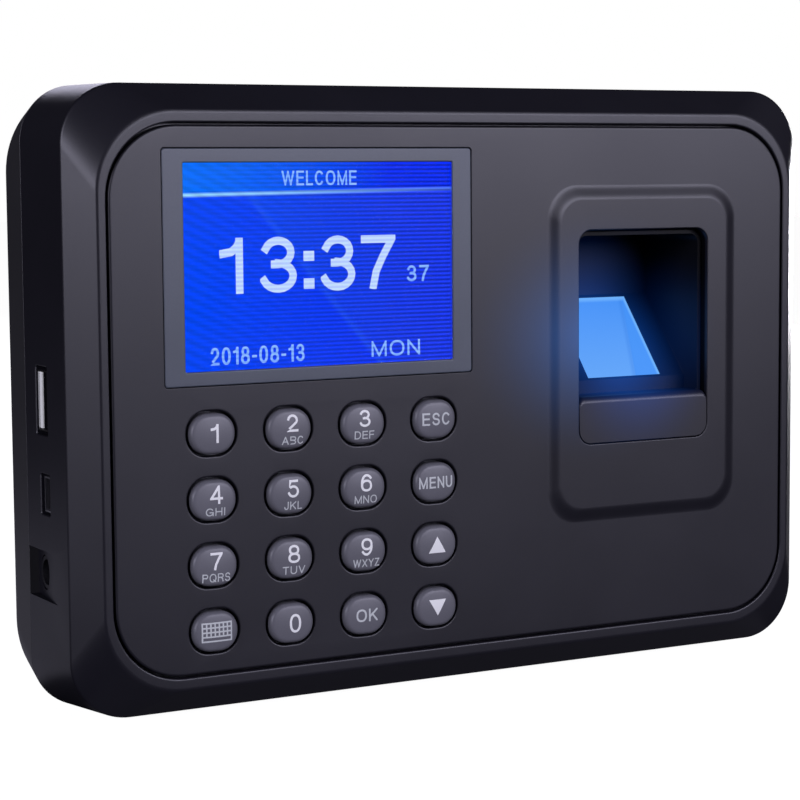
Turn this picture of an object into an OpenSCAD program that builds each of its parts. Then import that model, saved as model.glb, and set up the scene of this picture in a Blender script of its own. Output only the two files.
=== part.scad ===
// Fingerprint scanner terminal for a wall or a desk, in millimetres.
// X runs to the right, Z runs up, the wall plane is Y = 0 and the front faces -Y.
// The front outline is centred on X = 0 and Z = 0; the case grows a little downward toward the seam.

/* [Case] */
// Width of the case
case_w = 193; // [192:0.5:200]
// Height of the case at its front ridge
case_h = 136; // [135.5:0.5:137]
// Height of the case at the seam between its two shells
seam_h = 138.1; // [137.6:0.1:139]
// Outer corner radius at the front ridge
corner_r = 13.5; // [12:0.5:15]
// Outer corner radius at the seam
seam_r = 12.5; // [12:0.5:15]
// Outer corner radius at the back, before its edge is rounded
back_r = 22; // [18:1:26]
// Depth of the rear housing
rear_d = 15; // [13.5:0.5:18]
// Depth of the straight side wall of the front housing
wall_d = 24; // [24:0.5:28]
// Height of the bevel between the side wall and the face
bevel_d = 5.9; // [5.4:0.1:6.4]
// Width of the bevel seen from the front
bevel_w = 5.8; // [5.2:0.1:6]
// Wall thickness of the front housing
wall_t = 2.5; // [2:0.1:2.8]

/* [Face panel] */
// Width of the face panel
panel_w = 176.7; // [174:0.1:177]
// Height of the face panel
panel_h = 118.4; // [117.6:0.1:118.6]
// Thickness of the face panel
panel_t = 2.4; // [2.2:0.1:2.6]
// Shadow gap round the face panel
panel_gap = 0.5; // [0.3:0.05:0.6]

/* [Screen] */
// Width of the screen frame
screen_w = 75.8; // [74:0.1:76]
// Height of the screen frame
screen_h = 50.7; // [50:0.1:51]
// Width of the visible picture
picture_w = 66; // [64:0.5:66]
// Height of the visible picture
picture_h = 44.6; // [43:0.1:44.6]

/* [Keypad] */
// Key pitch across
pitch_x = 18.35; // [18:0.05:18.5]
// Key pitch up and down
pitch_z = 14.34; // [14.2:0.02:14.4]
// Width of a key cap
key_w = 11; // [10.6:0.1:11.2]
// Height of a key cap
key_h = 9; // [8.8:0.1:9.1]
// How far a key cap stands above the panel
key_rise = 1.5; // [1.2:0.1:1.8]
// Travel of a key
key_travel = 0.8; // [0.5:0.1:0.9]

/* [Finger reader] */
// Rise of the pad round the finger opening
pad_rise = 0.9; // [0.7:0.1:1]
// Width of the finger guide
guide_w = 36.8; // [36:0.1:37]
// Height of the finger guide
guide_h = 50; // [49.4:0.1:50.2]
// Width of the glass prism
glass_w = 20.8; // [20:0.1:21]
// Length of the glass face of the prism
glass_l = 23.8; // [23:0.1:24]
// Lean of the glass face away from upright
glass_lean = 40.2; // [39:0.1:41]

/* [Wall plate] */
// Spacing of the wall screws across
wall_hole_x = 90; // [84:1:94]
// Spacing of the wall screws up and down
wall_hole_z = 60; // [56:1:64]
// Diameter of the wall screw holes
wall_hole_d = 4.6; // [4.2:0.1:5]

/* [Hidden] */
$fn = 96;

// Planes from the wall to the face
seam_y = -rear_d;
edge_y = seam_y - wall_d;
face_y = edge_y - bevel_d;
panel_back = face_y + panel_t;
ledge_t = 2;
pad_y = face_y - pad_rise;

// Rim and seat of the face panel
rim_w = case_w - 2 * bevel_w;
rim_h = case_h - 2 * bevel_w;
rim_r = 17.8;
seat_r = 16.2;

// The underside runs out further than the top towards the seam
seam_z = case_h / 2 + 0.3 - seam_h / 2;

// Rear edge rounding and shells
back_round = 6.8;
rear_wall = 4.3;
rear_floor = 4.2;
recess_y = -1.7;
plate_t = 1.5;

// Case screws
case_screw_x = 83;
case_screw_z = 55.5;

// Screen placement
screen_x = -38.2;
screen_z = 28.8;
lens_t = 1.2;
lcd_front = face_y + 1.6;
lcd_t = 2;
tray_back = face_y + 7.4;

// Keypad placement
keys_x = -38;
keys_z = -28.35;
board_front = tray_back;
board_t = 1.6;
board_back = board_front + board_t;
dome_h = 0.5;
key_plunger_y = board_front - dome_h - 0.3 - key_travel;

// Finger reader placement
pad_x = 47.1;
pad_z = 5.7;
pad_w = 53.7;
pad_h = 79.9;
pad_slope = 2.35;
guide_x = 46.9;
guide_z = 9.9;
guide_wall = 1.2;
set_back = 2.4;
glass_y = edge_y + 9.1;
glass_z = 8.8;
ribbon_z = -2;

// Ports in the left wall
port_x = -case_w / 2;
usb_y = edge_y + 14;
usb_z = 0.3;
mini_y = edge_y + 12.9;
mini_z = -20;
jack_y = edge_y + 18.2;
jack_z = -37.9;
io_x = -82;

// Wall plate placement
plate_w = 123;
plate_h = 103;
plate_z = -6.5;
foot_screw_y = -8.5;

case_colour = [0.20, 0.20, 0.23];
frame_colour = [0.34, 0.34, 0.38];
key_colour = [0.30, 0.30, 0.34];
rubber_colour = [0.08, 0.08, 0.09];
board_colour = [0.05, 0.30, 0.16];
metal_colour = [0.72, 0.73, 0.75];
black_colour = [0.04, 0.04, 0.05];
blue_colour = [0.20, 0.50, 1.00];

// ---- shared shapes ----

// Rounded rectangle made of squares and circles
module rounded_rect(w, h, r) {
    square([w, h - 2 * r], center = true);
    square([w - 2 * r, h], center = true);
    for (sx = [-1, 1]) {
        for (sz = [-1, 1]) {
            translate([sx * (w / 2 - r), sz * (h / 2 - r)])
                circle(r);
        }
    }
}

// Rounded slab between two Y planes, its face parallel to the wall
module slab(w, h, r, y0, y1) {
    translate([0, y1, 0])
        rotate([90, 0, 0])
            linear_extrude(y1 - y0)
                rounded_rect(w, h, r);
}

// Block given by its X, Y and Z limits
module block(x0, x1, y0, y1, z0, z1) {
    translate([x0, y0, z0])
        cube([x1 - x0, y1 - y0, z1 - z0]);
}

// Round bar along Y between two planes
module bar_y(x, z, d, y0, y1) {
    translate([x, y1, z])
        rotate([90, 0, 0])
            cylinder(d = d, h = y1 - y0);
}

// Profile in the Y-Z plane carried along X
module carry_x(x0, x1) {
    translate([x0, 0, 0])
        rotate([90, 0, 90])
            linear_extrude(x1 - x0)
                children();
}

// Profile in the X-Y plane carried along Z
module carry_z(z0, z1) {
    translate([0, 0, z0])
        linear_extrude(z1 - z0)
            children();
}

// Outside of the rear housing: the corners widen and the edge rounds towards the back
module rear_body() {
    $fn = 64;
    translate([0, 0, seam_z])
        hull() {
            slab(case_w, seam_h, seam_r, seam_y, seam_y + 0.02);
            for (a = [0 : 22.5 : 90]) {
                inset = back_round * (1 - cos(a));
                depth = back_round * (1 - sin(a));
                r = seam_r + (back_r - seam_r) * (rear_d - depth) / rear_d - inset;
                slab(case_w - 2 * inset, seam_h - 2 * inset, r, -depth - 0.02, -depth);
            }
        }
}

// Raised slab with sloping sides: w by h at y1, narrower at y0
module sloped_slab(w, h, r, inset, y0, y1) {
    d = y1 - y0;
    translate([0, y1, 0])
        rotate([90, 0, 0]) {
            for (sx = [-1, 1]) {
                for (sz = [-1, 1]) {
                    translate([sx * (w / 2 - r), sz * (h / 2 - r), 0])
                        cylinder(r1 = r, r2 = r - inset, h = d);
                }
            }
            rotate([90, 0, 0])
                linear_extrude(h - 2 * r, center = true)
                    polygon([[-w / 2, 0], [w / 2, 0], [w / 2 - inset, d], [-w / 2 + inset, d]]);
            rotate([90, 0, 90])
                linear_extrude(w - 2 * r, center = true)
                    polygon([[-h / 2, 0], [h / 2, 0], [h / 2 - inset, d], [-h / 2 + inset, d]]);
        }
}

// Position of a key by column and row, counted from the top left
module at_key(col, row) {
    translate([keys_x + (col - 1.5) * pitch_x, 0, keys_z - (row - 1.5) * pitch_z])
        children();
}

// Local frame of the glass: origin at the middle of its face,
// +Y going into the case and +Z going up along the face
module at_glass() {
    translate([guide_x, glass_y, glass_z])
        rotate([-glass_lean, 0, 0])
            children();
}

// ---- case ----

module front_housing() {
    color(case_colour)
        difference() {
            union() {
                difference() {
                    union() {
                        hull() {
                            slab(case_w, case_h, corner_r, edge_y, edge_y + 0.02);
                            translate([0, 0, seam_z])
                                slab(case_w, seam_h, seam_r, seam_y - 0.02, seam_y);
                        }
                        hull() {
                            slab(case_w, case_h, corner_r, edge_y - 0.02, edge_y);
                            slab(rim_w, rim_h, rim_r, face_y, face_y + 0.02);
                        }
                    }
                    slab(panel_w + 2 * panel_gap, panel_h + 2 * panel_gap, seat_r, face_y - 1, panel_back);
                    slab(170, 112, 12, panel_back - 1, panel_back + ledge_t + 1);
                    slab(case_w - 2 * wall_t, case_h - 2 * wall_t, 11.5, panel_back + ledge_t, seam_y + 1);
                }
                // screw towers
                for (sx = [-1, 1]) {
                    for (sz = [-1, 1]) {
                        bar_y(sx * case_screw_x, sz * case_screw_z, 8, panel_back + 1, seam_y);
                    }
                }
                // thickened wall behind the power jack recess
                block(port_x + 1, port_x + 4.6, edge_y + 5, seam_y - 2.9, jack_z - 7.5, jack_z + 7.5);
            }
            for (sx = [-1, 1]) {
                for (sz = [-1, 1]) {
                    bar_y(sx * case_screw_x, sz * case_screw_z, 3, seam_y - 13, seam_y + 1);
                }
            }
            // slots for the two data sockets
            block(port_x - 1, port_x + 5, usb_y - 3.4, usb_y + 3.4, usb_z - 7.5, usb_z + 7.5);
            block(port_x - 1, port_x + 5, mini_y - 2.8, mini_y + 2.8, mini_z - 4.5, mini_z + 4.5);
            // ramped recess of the power jack, open at the seam
            carry_z(jack_z - 5.4, jack_z + 5.4)
                polygon([
                    [port_x - 1, edge_y + 6.6],
                    [port_x, edge_y + 6.8],
                    [port_x + 2.2, seam_y - 1.4],
                    [port_x + 2.2, seam_y + 1],
                    [port_x - 1, seam_y + 1]]);
            translate([port_x - 1, jack_y, jack_z])
                rotate([0, 90, 0])
                    cylinder(d = 7.8, h = 7);
        }
}

module face_panel() {
    color(case_colour)
        difference() {
            union() {
                slab(panel_w, panel_h, seat_r - panel_gap, face_y, panel_back);
                translate([pad_x, 0, pad_z])
                    sloped_slab(pad_w, pad_h, 8, pad_slope, pad_y, face_y);
                // posts for the main board
                for (z = [-1, 1]) {
                    bar_y(8, z * 48, 5, panel_back - 0.5, board_front);
                    bar_y(-81.5, z * 44, 5, panel_back - 0.5, board_front);
                }
            }
            // seat and window for the screen
            translate([screen_x, 0, screen_z]) {
                slab(screen_w + 0.4, screen_h + 0.4, 0.9, face_y - 1, face_y + 1.6);
                slab(screen_w - 4.6, screen_h - 2.9, 0.5, face_y - 1, panel_back + 1);
            }
            // key holes
            for (row = [0 : 3]) {
                for (col = [0 : 3]) {
                    at_key(col, row)
                        slab(key_w + 0.8, key_h + 0.8, key_h / 2 + 0.2, face_y - 1, panel_back + 1);
                }
            }
            // finger opening
            translate([guide_x, 0, guide_z])
                slab(guide_w + 0.3, guide_h + 0.3, 3.4, pad_y - 1, panel_back + 1);
            // pilot holes for the guide screws
            for (sx = [-1, 1]) {
                for (sz = [-1, 1]) {
                    bar_y(guide_x + sx * 21, guide_z + sz * 27.5, 2, panel_back - 1.6, panel_back + 1);
                }
            }
            for (z = [-1, 1]) {
                bar_y(8, z * 48, 2, board_front - 4, board_front + 1);
                bar_y(-81.5, z * 44, 2, board_front - 4, board_front + 1);
            }
        }
}

module rear_housing() {
    color(case_colour)
        difference() {
            union() {
                difference() {
                    rear_body();
                    slab(case_w - 2 * rear_wall, case_h - 2 * rear_wall, 9.7, seam_y - 1, -rear_floor);
                }
                // tongue that locates inside the front housing
                difference() {
                    slab(case_w - 2 * wall_t - 0.6, case_h - 2 * wall_t - 0.6, 11.2, seam_y - 2.4, seam_y + 0.5);
                    slab(case_w - 2 * rear_wall, case_h - 2 * rear_wall, 9.7, seam_y - 3, seam_y + 1);
                    block(-case_w, -case_w / 2 + 8, seam_y - 3, seam_y, jack_z - 8, jack_z + 8);
                }
                for (sx = [-1, 1]) {
                    for (sz = [-1, 1]) {
                        bar_y(sx * case_screw_x, sz * case_screw_z, 8.4, seam_y, -rear_floor + 1);
                    }
                }
            }
            for (sx = [-1, 1]) {
                for (sz = [-1, 1]) {
                    bar_y(sx * case_screw_x, sz * case_screw_z, 3.4, seam_y - 1, 1);
                    bar_y(sx * case_screw_x, sz * case_screw_z, 6.4, -6, 1);
                }
            }
            // seat of the wall plate, its hook slots and the slot for its foot
            translate([0, 0, plate_z])
                slab(plate_w + 1, plate_h + 1, 2.5, recess_y, 1);
            for (sx = [-1, 1]) {
                for (z = [-18, 38]) {
                    block(sx * 50 - 5, sx * 50 + 5, -rear_floor - 1, 0, z - 4, z + 1.6);
                }
            }
            block(-8.5, 8.5, -rear_floor - 1, 0, plate_z - plate_h / 2 - 0.5, plate_z - plate_h / 2 + 4);
            // room for the heads of the wall screws
            for (sx = [-1, 1]) {
                for (sz = [-1, 1]) {
                    bar_y(sx * wall_hole_x / 2, plate_z + sz * wall_hole_z / 2, 10, -rear_floor - 1, 0);
                }
            }
            // foot screw passage
            translate([0, foot_screw_y, -case_h / 2 - 3])
                cylinder(d = 3.4, h = 10);
            translate([0, foot_screw_y, -case_h / 2 - 3])
                cylinder(d = 6.2, h = 5.4);
        }
}

module rear_screws() {
    color(metal_colour)
        for (sx = [-1, 1]) {
            for (sz = [-1, 1]) {
                difference() {
                    union() {
                        bar_y(sx * case_screw_x, sz * case_screw_z, 5.6, -6, -3.8);
                        bar_y(sx * case_screw_x, sz * case_screw_z, 2.8, seam_y - 12, -6);
                    }
                    bar_y(sx * case_screw_x, sz * case_screw_z, 1.8, -5, -3);
                }
            }
        }
}

// ---- screen ----

module screen_frame() {
    color(frame_colour)
        translate([screen_x, 0, screen_z])
            difference() {
                slab(screen_w, screen_h, 0.7, face_y + 0.05, lcd_front);
                slab(picture_w, picture_h, 0.3, face_y - 1, lcd_front + 1);
            }
}

module screen_lens() {
    color([0.75, 0.85, 0.95, 0.35])
        translate([screen_x, 0, screen_z])
            slab(picture_w - 0.1, picture_h - 0.1, 0.25, lcd_front - 0.1 - lens_t, lcd_front - 0.1);
}

module lcd_panel() {
    color([0.05, 0.20, 0.85])
        translate([screen_x, 0, screen_z])
            slab(screen_w - 5.2, screen_h - 3.5, 0.4, lcd_front, lcd_front + lcd_t);
}

module lcd_tray() {
    color(metal_colour)
        translate([screen_x, 0, screen_z])
            difference() {
                slab(screen_w + 1, screen_h + 1.6, 1, panel_back, tray_back);
                slab(screen_w - 4.8, screen_h - 3.1, 0.6, panel_back - 1, lcd_front + lcd_t);
            }
}

module lcd_ribbon() {
    x0 = screen_x + screen_w / 2 + 0.5;
    color([0.75, 0.45, 0.15])
        carry_z(screen_z - 9, screen_z + 9)
            polygon([
                [x0, board_front - 3.4],
                [x0 + 2.6, board_front - 3.4],
                [x0 + 4.6, board_front - 0.3],
                [x0 + 8.6, board_front - 0.3],
                [x0 + 8.6, board_front],
                [x0 + 4.4, board_front],
                [x0 + 2.4, board_front - 3.1],
                [x0, board_front - 3.1]]);
}

// ---- keypad ----

module key_cap() {
    dome_r = 26;
    crown_y = face_y - key_rise;
    flange_back = panel_back + 1;
    color(key_colour) {
        intersection() {
            slab(key_w, key_h, key_h / 2 - 0.2, crown_y - 1, panel_back + 0.5);
            translate([0, crown_y + dome_r, 0])
                sphere(r = dome_r);
        }
        slab(key_w + 2.4, key_h + 2.2, 4, panel_back + 0.2, flange_back);
        bar_y(0, 0, 5, flange_back - 0.4, key_plunger_y);
    }
}

module key_1() { at_key(0, 0) key_cap(); }
module key_2() { at_key(1, 0) key_cap(); }
module key_3() { at_key(2, 0) key_cap(); }
module key_esc() { at_key(3, 0) key_cap(); }
module key_4() { at_key(0, 1) key_cap(); }
module key_5() { at_key(1, 1) key_cap(); }
module key_6() { at_key(2, 1) key_cap(); }
module key_menu() { at_key(3, 1) key_cap(); }
module key_7() { at_key(0, 2) key_cap(); }
module key_8() { at_key(1, 2) key_cap(); }
module key_9() { at_key(2, 2) key_cap(); }
module key_up() { at_key(3, 2) key_cap(); }
module key_input() { at_key(0, 3) key_cap(); }
module key_0() { at_key(1, 3) key_cap(); }
module key_ok() { at_key(2, 3) key_cap(); }
module key_down() { at_key(3, 3) key_cap(); }

module keypad_mat() {
    color(rubber_colour)
        translate([keys_x, 0, keys_z])
            difference() {
                slab(4 * pitch_x - 2, 4 * pitch_z - 2, 3, board_front - 1.2, board_front);
                translate([-keys_x, 0, -keys_z])
                    for (row = [0 : 3]) {
                        for (col = [0 : 3]) {
                            at_key(col, row)
                                bar_y(0, 0, 8, board_front - 2, board_front + 1);
                        }
                    }
            }
}

module key_domes() {
    color(metal_colour)
        for (row = [0 : 3]) {
            for (col = [0 : 3]) {
                at_key(col, row)
                    translate([0, board_front, 0])
                        rotate([90, 0, 0])
                            cylinder(r1 = 3, r2 = 1.8, h = dome_h);
            }
        }
}

// ---- boards ----

module main_board() {
    color(board_colour)
        difference() {
            union() {
                block(-91, 14, board_front, board_back, -50, 50);
                block(-78, 14, board_front, board_back, -57, 55);
            }
            for (z = [-1, 1]) {
                bar_y(8, z * 48, 2.4, board_front - 1, board_back + 1);
                bar_y(-81.5, z * 44, 2.4, board_front - 1, board_back + 1);
            }
        }
}

module board_screws() {
    color(metal_colour)
        for (z = [-1, 1]) {
            bar_y(8, z * 48, 4, board_back, board_back + 1.5);
            bar_y(8, z * 48, 1.9, board_back - 4.6, board_back);
            bar_y(-81.5, z * 44, 4, board_back, board_back + 1.5);
            bar_y(-81.5, z * 44, 1.9, board_back - 4.6, board_back);
        }
}

module board_chips() {
    color(black_colour) {
        block(-52, -36, board_back, board_back + 1.3, 8, 24);
        block(-30, -18, board_back, board_back + 1.1, 12, 22);
        block(-60, -52, board_back, board_back + 1.0, -12, -6);
        block(-4, 6, board_back, board_back + 2.6, -34, -20);
        block(-78, -72, board_back, board_back + 3.2, -30, -14);
    }
}

module buzzer() {
    color(black_colour)
        difference() {
            bar_y(-26, -24, 12, board_back, board_back + 6.5);
            bar_y(-26, -24, 2.4, board_back + 5, board_back + 7);
        }
}

module cell_holder() {
    color(black_colour)
        difference() {
            translate([-56, 0, -32])
                slab(24, 24, 2, board_back, board_back + 4.4);
            bar_y(-56, -32, 20.6, board_back + 1, board_back + 5);
        }
}

module coin_cell() {
    color(metal_colour) {
        bar_y(-56, -32, 20, board_back + 1, board_back + 4);
        bar_y(-56, -32, 17, board_back + 3.5, board_back + 4.2);
    }
}

module io_board() {
    color(board_colour)
        block(io_x, io_x + 1.6, edge_y + 5.5, seam_y - 1, -47, 12);
}

module usb_shell() {
    color(metal_colour)
        difference() {
            block(port_x + 0.3, io_x, usb_y - 2.85, usb_y + 2.85, usb_z - 6.55, usb_z + 6.55);
            block(port_x - 1, io_x - 0.6, usb_y - 2.55, usb_y + 2.55, usb_z - 6.25, usb_z + 6.25);
        }
}

module usb_tongue() {
    color([0.86, 0.86, 0.87])
        block(port_x + 0.5, io_x - 0.6, usb_y + 0.75, usb_y + 2.25, usb_z - 6.05, usb_z + 6.15);
}

module mini_usb_shell() {
    color(metal_colour)
        difference() {
            block(port_x + 0.6, io_x, mini_y - 1.95, mini_y + 1.95, mini_z - 3.85, mini_z + 3.85);
            block(port_x - 1, io_x - 0.6, mini_y - 1.6, mini_y + 1.6, mini_z - 3.5, mini_z + 3.5);
        }
}

module mini_usb_tongue() {
    color(black_colour)
        block(port_x + 2, io_x - 0.6, mini_y - 0.4, mini_y + 0.4, mini_z - 2.6, mini_z + 2.6);
}

module dc_jack() {
    color(black_colour)
        difference() {
            union() {
                block(port_x + 5, io_x, jack_y - 4.6, jack_y + 4.6, jack_z - 4.6, jack_z + 4.6);
                translate([port_x + 2, jack_y, jack_z])
                    rotate([0, 90, 0])
                        cylinder(d = 7.4, h = 4);
            }
            translate([port_x + 1, jack_y, jack_z])
                rotate([0, 90, 0])
                    cylinder(d = 5.7, h = 11);
        }
}

module dc_pin() {
    color(metal_colour)
        translate([port_x + 4, jack_y, jack_z])
            rotate([0, 90, 0])
                cylinder(d = 2, h = 8);
}

// ---- finger reader ----

// Space the finger goes into, as a profile in the Y-Z plane
module well_profile() {
    low_y = glass_y - (glass_l / 2 + 0.8) * sin(glass_lean);
    low_z = glass_z - (glass_l / 2 + 0.8) * cos(glass_lean);
    top_y = glass_y + (glass_l / 2 + 0.8) * sin(glass_lean);
    top_z = glass_z + (glass_l / 2 + 0.8) * cos(glass_lean);
    lip_z = -4;
    lip_r = 1.6;
    top = guide_z + guide_h / 2 - guide_wall;
    polygon([
        [pad_y - 1, top],
        [top_y, top],
        [top_y, top_z],
        [low_y, low_z],
        [low_y, lip_z],
        [pad_y + lip_r, lip_z],
        [pad_y + lip_r, lip_z - lip_r],
        [pad_y - 1, lip_z - lip_r]]);
}

module finger_guide() {
    low_y = glass_y - (glass_l / 2 + 0.8) * sin(glass_lean);
    low_z = glass_z - (glass_l / 2 + 0.8) * cos(glass_lean);
    top_y = glass_y + (glass_l / 2 + 0.8) * sin(glass_lean);
    top_z = glass_z + (glass_l / 2 + 0.8) * cos(glass_lean);
    inner = guide_w / 2 - guide_wall;
    color(case_colour)
        difference() {
            union() {
                translate([guide_x, 0, guide_z]) {
                    slab(guide_w, guide_h, 3.2, pad_y + set_back, top_y + 1.6);
                    slab(guide_w + 11, guide_h + 10.5, 4, panel_back, panel_back + 1.5);
                }
                // lip that fills the lower end of the opening, flush with the pad
                intersection() {
                    translate([guide_x, 0, guide_z])
                        slab(guide_w, guide_h, 3.2, pad_y, pad_y + set_back + 1);
                    translate([guide_x, 0, guide_z - guide_h / 2])
                        slab(guide_w, 2 * (guide_h / 2 - guide_z - 4), 1.5, pad_y, pad_y + set_back + 1);
                }
            }
            // quarter round along the top of the lip
            difference() {
                carry_x(guide_x - guide_w, guide_x + guide_w)
                    translate([pad_y - 1, -5.6])
                        square([2.6, 1.7]);
                carry_x(guide_x - guide_w, guide_x + guide_w)
                    translate([pad_y + 1.6, -5.6])
                        circle(1.6);
            }
            // the well with a rounded lip
            difference() {
                carry_x(guide_x - inner, guide_x + inner)
                    well_profile();
                carry_x(guide_x - inner, guide_x + inner)
                    translate([pad_y + 1.6, -5.6])
                        circle(1.6);
            }
            // hollow behind the lip and below the slope
            carry_x(guide_x - inner, guide_x + inner)
                polygon([
                    [pad_y + 2.4, -13.6],
                    [pad_y + 2.4, -7.6],
                    [low_y + 1.5, -6.2],
                    [low_y + 1.5, low_z - 1.3],
                    [top_y + 1.5, top_z - 1.3],
                    [top_y + 4, top_z - 1.3],
                    [top_y + 4, -13.6]]);
            // the side walls stop behind the slope
            carry_x(guide_x - guide_w, guide_x + guide_w)
                polygon([
                    [panel_back + 1.5, -20],
                    [panel_back + 1.5, low_z - 6],
                    [top_y + 0.5, top_z - 9],
                    [top_y + 4, top_z - 6],
                    [top_y + 4, -20]]);
            // window for the glass
            at_glass()
                block(-glass_w / 2 - 0.15, glass_w / 2 + 0.15, -2, 6, -glass_l / 2 - 0.15, glass_l / 2 + 0.15);
            for (sx = [-1, 1]) {
                for (sz = [-1, 1]) {
                    bar_y(guide_x + sx * 21, guide_z + sz * 27.5, 2.2, panel_back - 1, panel_back + 3);
                }
            }
        }
}

module guide_screws() {
    color(metal_colour)
        for (sx = [-1, 1]) {
            for (sz = [-1, 1]) {
                bar_y(guide_x + sx * 21, guide_z + sz * 27.5, 3.6, panel_back + 1.5, panel_back + 2.7);
                bar_y(guide_x + sx * 21, guide_z + sz * 27.5, 1.8, panel_back - 1.4, panel_back + 1.5);
            }
        }
}

module glass_prism() {
    color([0.45, 0.75, 1.00, 0.55])
        at_glass()
            carry_x(-glass_w / 2, glass_w / 2)
                polygon([
                    [0.15, -glass_l / 2],
                    [2.2, -glass_l / 2],
                    [10, -glass_l / 2 + 7.8],
                    [10, glass_l / 2 - 7.8],
                    [2.2, glass_l / 2],
                    [0.15, glass_l / 2]]);
}

module sensor_housing() {
    color(black_colour)
        at_glass()
            difference() {
                block(-13.6, 13.6, 2.3, 16.5, -13, 13.2);
                block(-12, 12, 1, 15, -12.2, 12.3);
            }
}

module light_board() {
    color(board_colour)
        at_glass()
            translate([0, 6.1, -glass_l / 2 + 3.9])
                rotate([45, 0, 0])
                    block(-9, 9, -1.7, 5.5, -4.2, -3.4);
}

module sensor_lights() {
    color(blue_colour)
        at_glass()
            translate([0, 6.1, -glass_l / 2 + 3.9])
                rotate([45, 0, 0])
                    for (k = [-1.5, -0.5, 0.5, 1.5]) {
                        translate([k * 4.2, 1.8, -3.4])
                            cylinder(d = 3, h = 1.4);
                    }
}

module camera_board() {
    color(board_colour)
        at_glass()
            translate([0, 6.1, glass_l / 2 - 3.9])
                rotate([-45, 0, 0])
                    block(-7, 7, -1.7, 5.5, 3.4, 4.2);
}

module camera_lens() {
    color(black_colour)
        at_glass()
            translate([0, 6.1, glass_l / 2 - 3.9])
                rotate([-45, 0, 0])
                    difference() {
                        translate([0, 1.5, 1.2])
                            cylinder(d = 6, h = 2.2);
                        translate([0, 1.5, 0.6])
                            cylinder(d = 3.4, h = 1.6);
                    }
}

module sensor_ribbon() {
    color([0.75, 0.45, 0.15])
        carry_z(ribbon_z - 6, ribbon_z + 6)
            polygon([
                [guide_x - 13.6, board_back + 14.4],
                [22, board_back + 14.4],
                [13, board_back + 0.3],
                [7, board_back + 0.3],
                [7, board_back],
                [13.2, board_back],
                [22.2, board_back + 14.1],
                [guide_x - 13.6, board_back + 14.1]]);
}

// ---- wall plate ----

module wall_plate() {
    foot_z = plate_z - plate_h / 2;
    color(metal_colour)
        difference() {
            union() {
                translate([0, 0, plate_z])
                    slab(plate_w, plate_h, 2, -plate_t, 0);
                for (sx = [-1, 1]) {
                    for (z = [-18, 38]) {
                        block(sx * 50 - 4, sx * 50 + 4, -6, -plate_t, z, z + 1.5);
                        block(sx * 50 - 4, sx * 50 + 4, -6, -4.7, z, z + 4.5);
                    }
                }
                block(-7, 7, foot_screw_y - 4, -plate_t, foot_z, foot_z + 1.5);
            }
            for (sx = [-1, 1]) {
                for (sz = [-1, 1]) {
                    bar_y(sx * wall_hole_x / 2, plate_z + sz * wall_hole_z / 2, wall_hole_d, -plate_t - 1, 1);
                }
            }
            translate([0, 0, 27])
                slab(44, 22, 5, -plate_t - 1, 1);
            translate([0, foot_screw_y, foot_z - 1])
                cylinder(d = 3.2, h = 4);
        }
}

module foot_screw() {
    color(metal_colour)
        translate([0, foot_screw_y, -case_h / 2])
            difference() {
                union() {
                    translate([0, 0, 0.2])
                        cylinder(d = 5.6, h = 2.2);
                    translate([0, 0, 2.4])
                        cylinder(d = 3, h = 10);
                }
                translate([0, 0, -1])
                    cylinder(d = 1.8, h = 2.2);
            }
}

front_housing();
face_panel();
rear_housing();
rear_screws();
screen_frame();
screen_lens();
lcd_panel();
lcd_tray();
lcd_ribbon();
key_1();
key_2();
key_3();
key_esc();
key_4();
key_5();
key_6();
key_menu();
key_7();
key_8();
key_9();
key_up();
key_input();
key_0();
key_ok();
key_down();
keypad_mat();
key_domes();
main_board();
board_screws();
board_chips();
buzzer();
cell_holder();
coin_cell();
io_board();
usb_shell();
usb_tongue();
mini_usb_shell();
mini_usb_tongue();
dc_jack();
dc_pin();
finger_guide();
guide_screws();
glass_prism();
sensor_housing();
light_board();
sensor_lights();
camera_board();
camera_lens();
sensor_ribbon();
wall_plate();
foot_screw();
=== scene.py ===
"""Fingerprint scanner terminal: its looks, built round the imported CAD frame.

Lengths are in millimetres in the part's frame until a mesh is made, which puts them in metres.
X runs to the right, Z runs up, the wall plane is Y = 0 and the front faces -Y.
"""
import math
import bmesh
import bpy
from mathutils import Matrix, Vector
from mathutils.geometry import delaunay_2d_cdt


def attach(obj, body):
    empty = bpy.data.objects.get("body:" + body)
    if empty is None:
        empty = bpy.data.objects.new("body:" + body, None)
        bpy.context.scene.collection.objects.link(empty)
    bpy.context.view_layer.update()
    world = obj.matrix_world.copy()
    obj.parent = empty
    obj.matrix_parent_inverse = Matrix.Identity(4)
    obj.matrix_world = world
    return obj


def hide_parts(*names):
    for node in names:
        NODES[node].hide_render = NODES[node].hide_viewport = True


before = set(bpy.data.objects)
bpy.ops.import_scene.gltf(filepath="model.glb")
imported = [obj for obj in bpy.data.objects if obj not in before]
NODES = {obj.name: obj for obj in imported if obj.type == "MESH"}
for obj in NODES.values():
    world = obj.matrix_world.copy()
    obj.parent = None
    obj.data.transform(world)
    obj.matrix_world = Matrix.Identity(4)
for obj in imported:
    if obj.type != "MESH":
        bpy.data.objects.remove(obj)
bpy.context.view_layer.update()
MM = 0.001

# ---- planes and sizes of the part ----
CASE_W, CASE_H, CORNER_R = 193.0, 136.0, 13.5
SEAM_H, SEAM_Z, SEAM_R, BACK_R, BACK_ROUND = 138.1, -0.75, 12.5, 22.0, 6.8
SEAM_Y, EDGE_Y, FACE_Y, PAD_Y = -15.0, -39.0, -44.9, -45.8
PANEL_BACK, BOARD_Y = -42.5, -37.5
SCREW_X, SCREW_Z, BOSS_D, REAR_BOSS_D, PILOT_D, SHAFT_D, HEAD_D = 83.0, 55.5, 8, 8.4, 3, 3.4, 6.4
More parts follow.
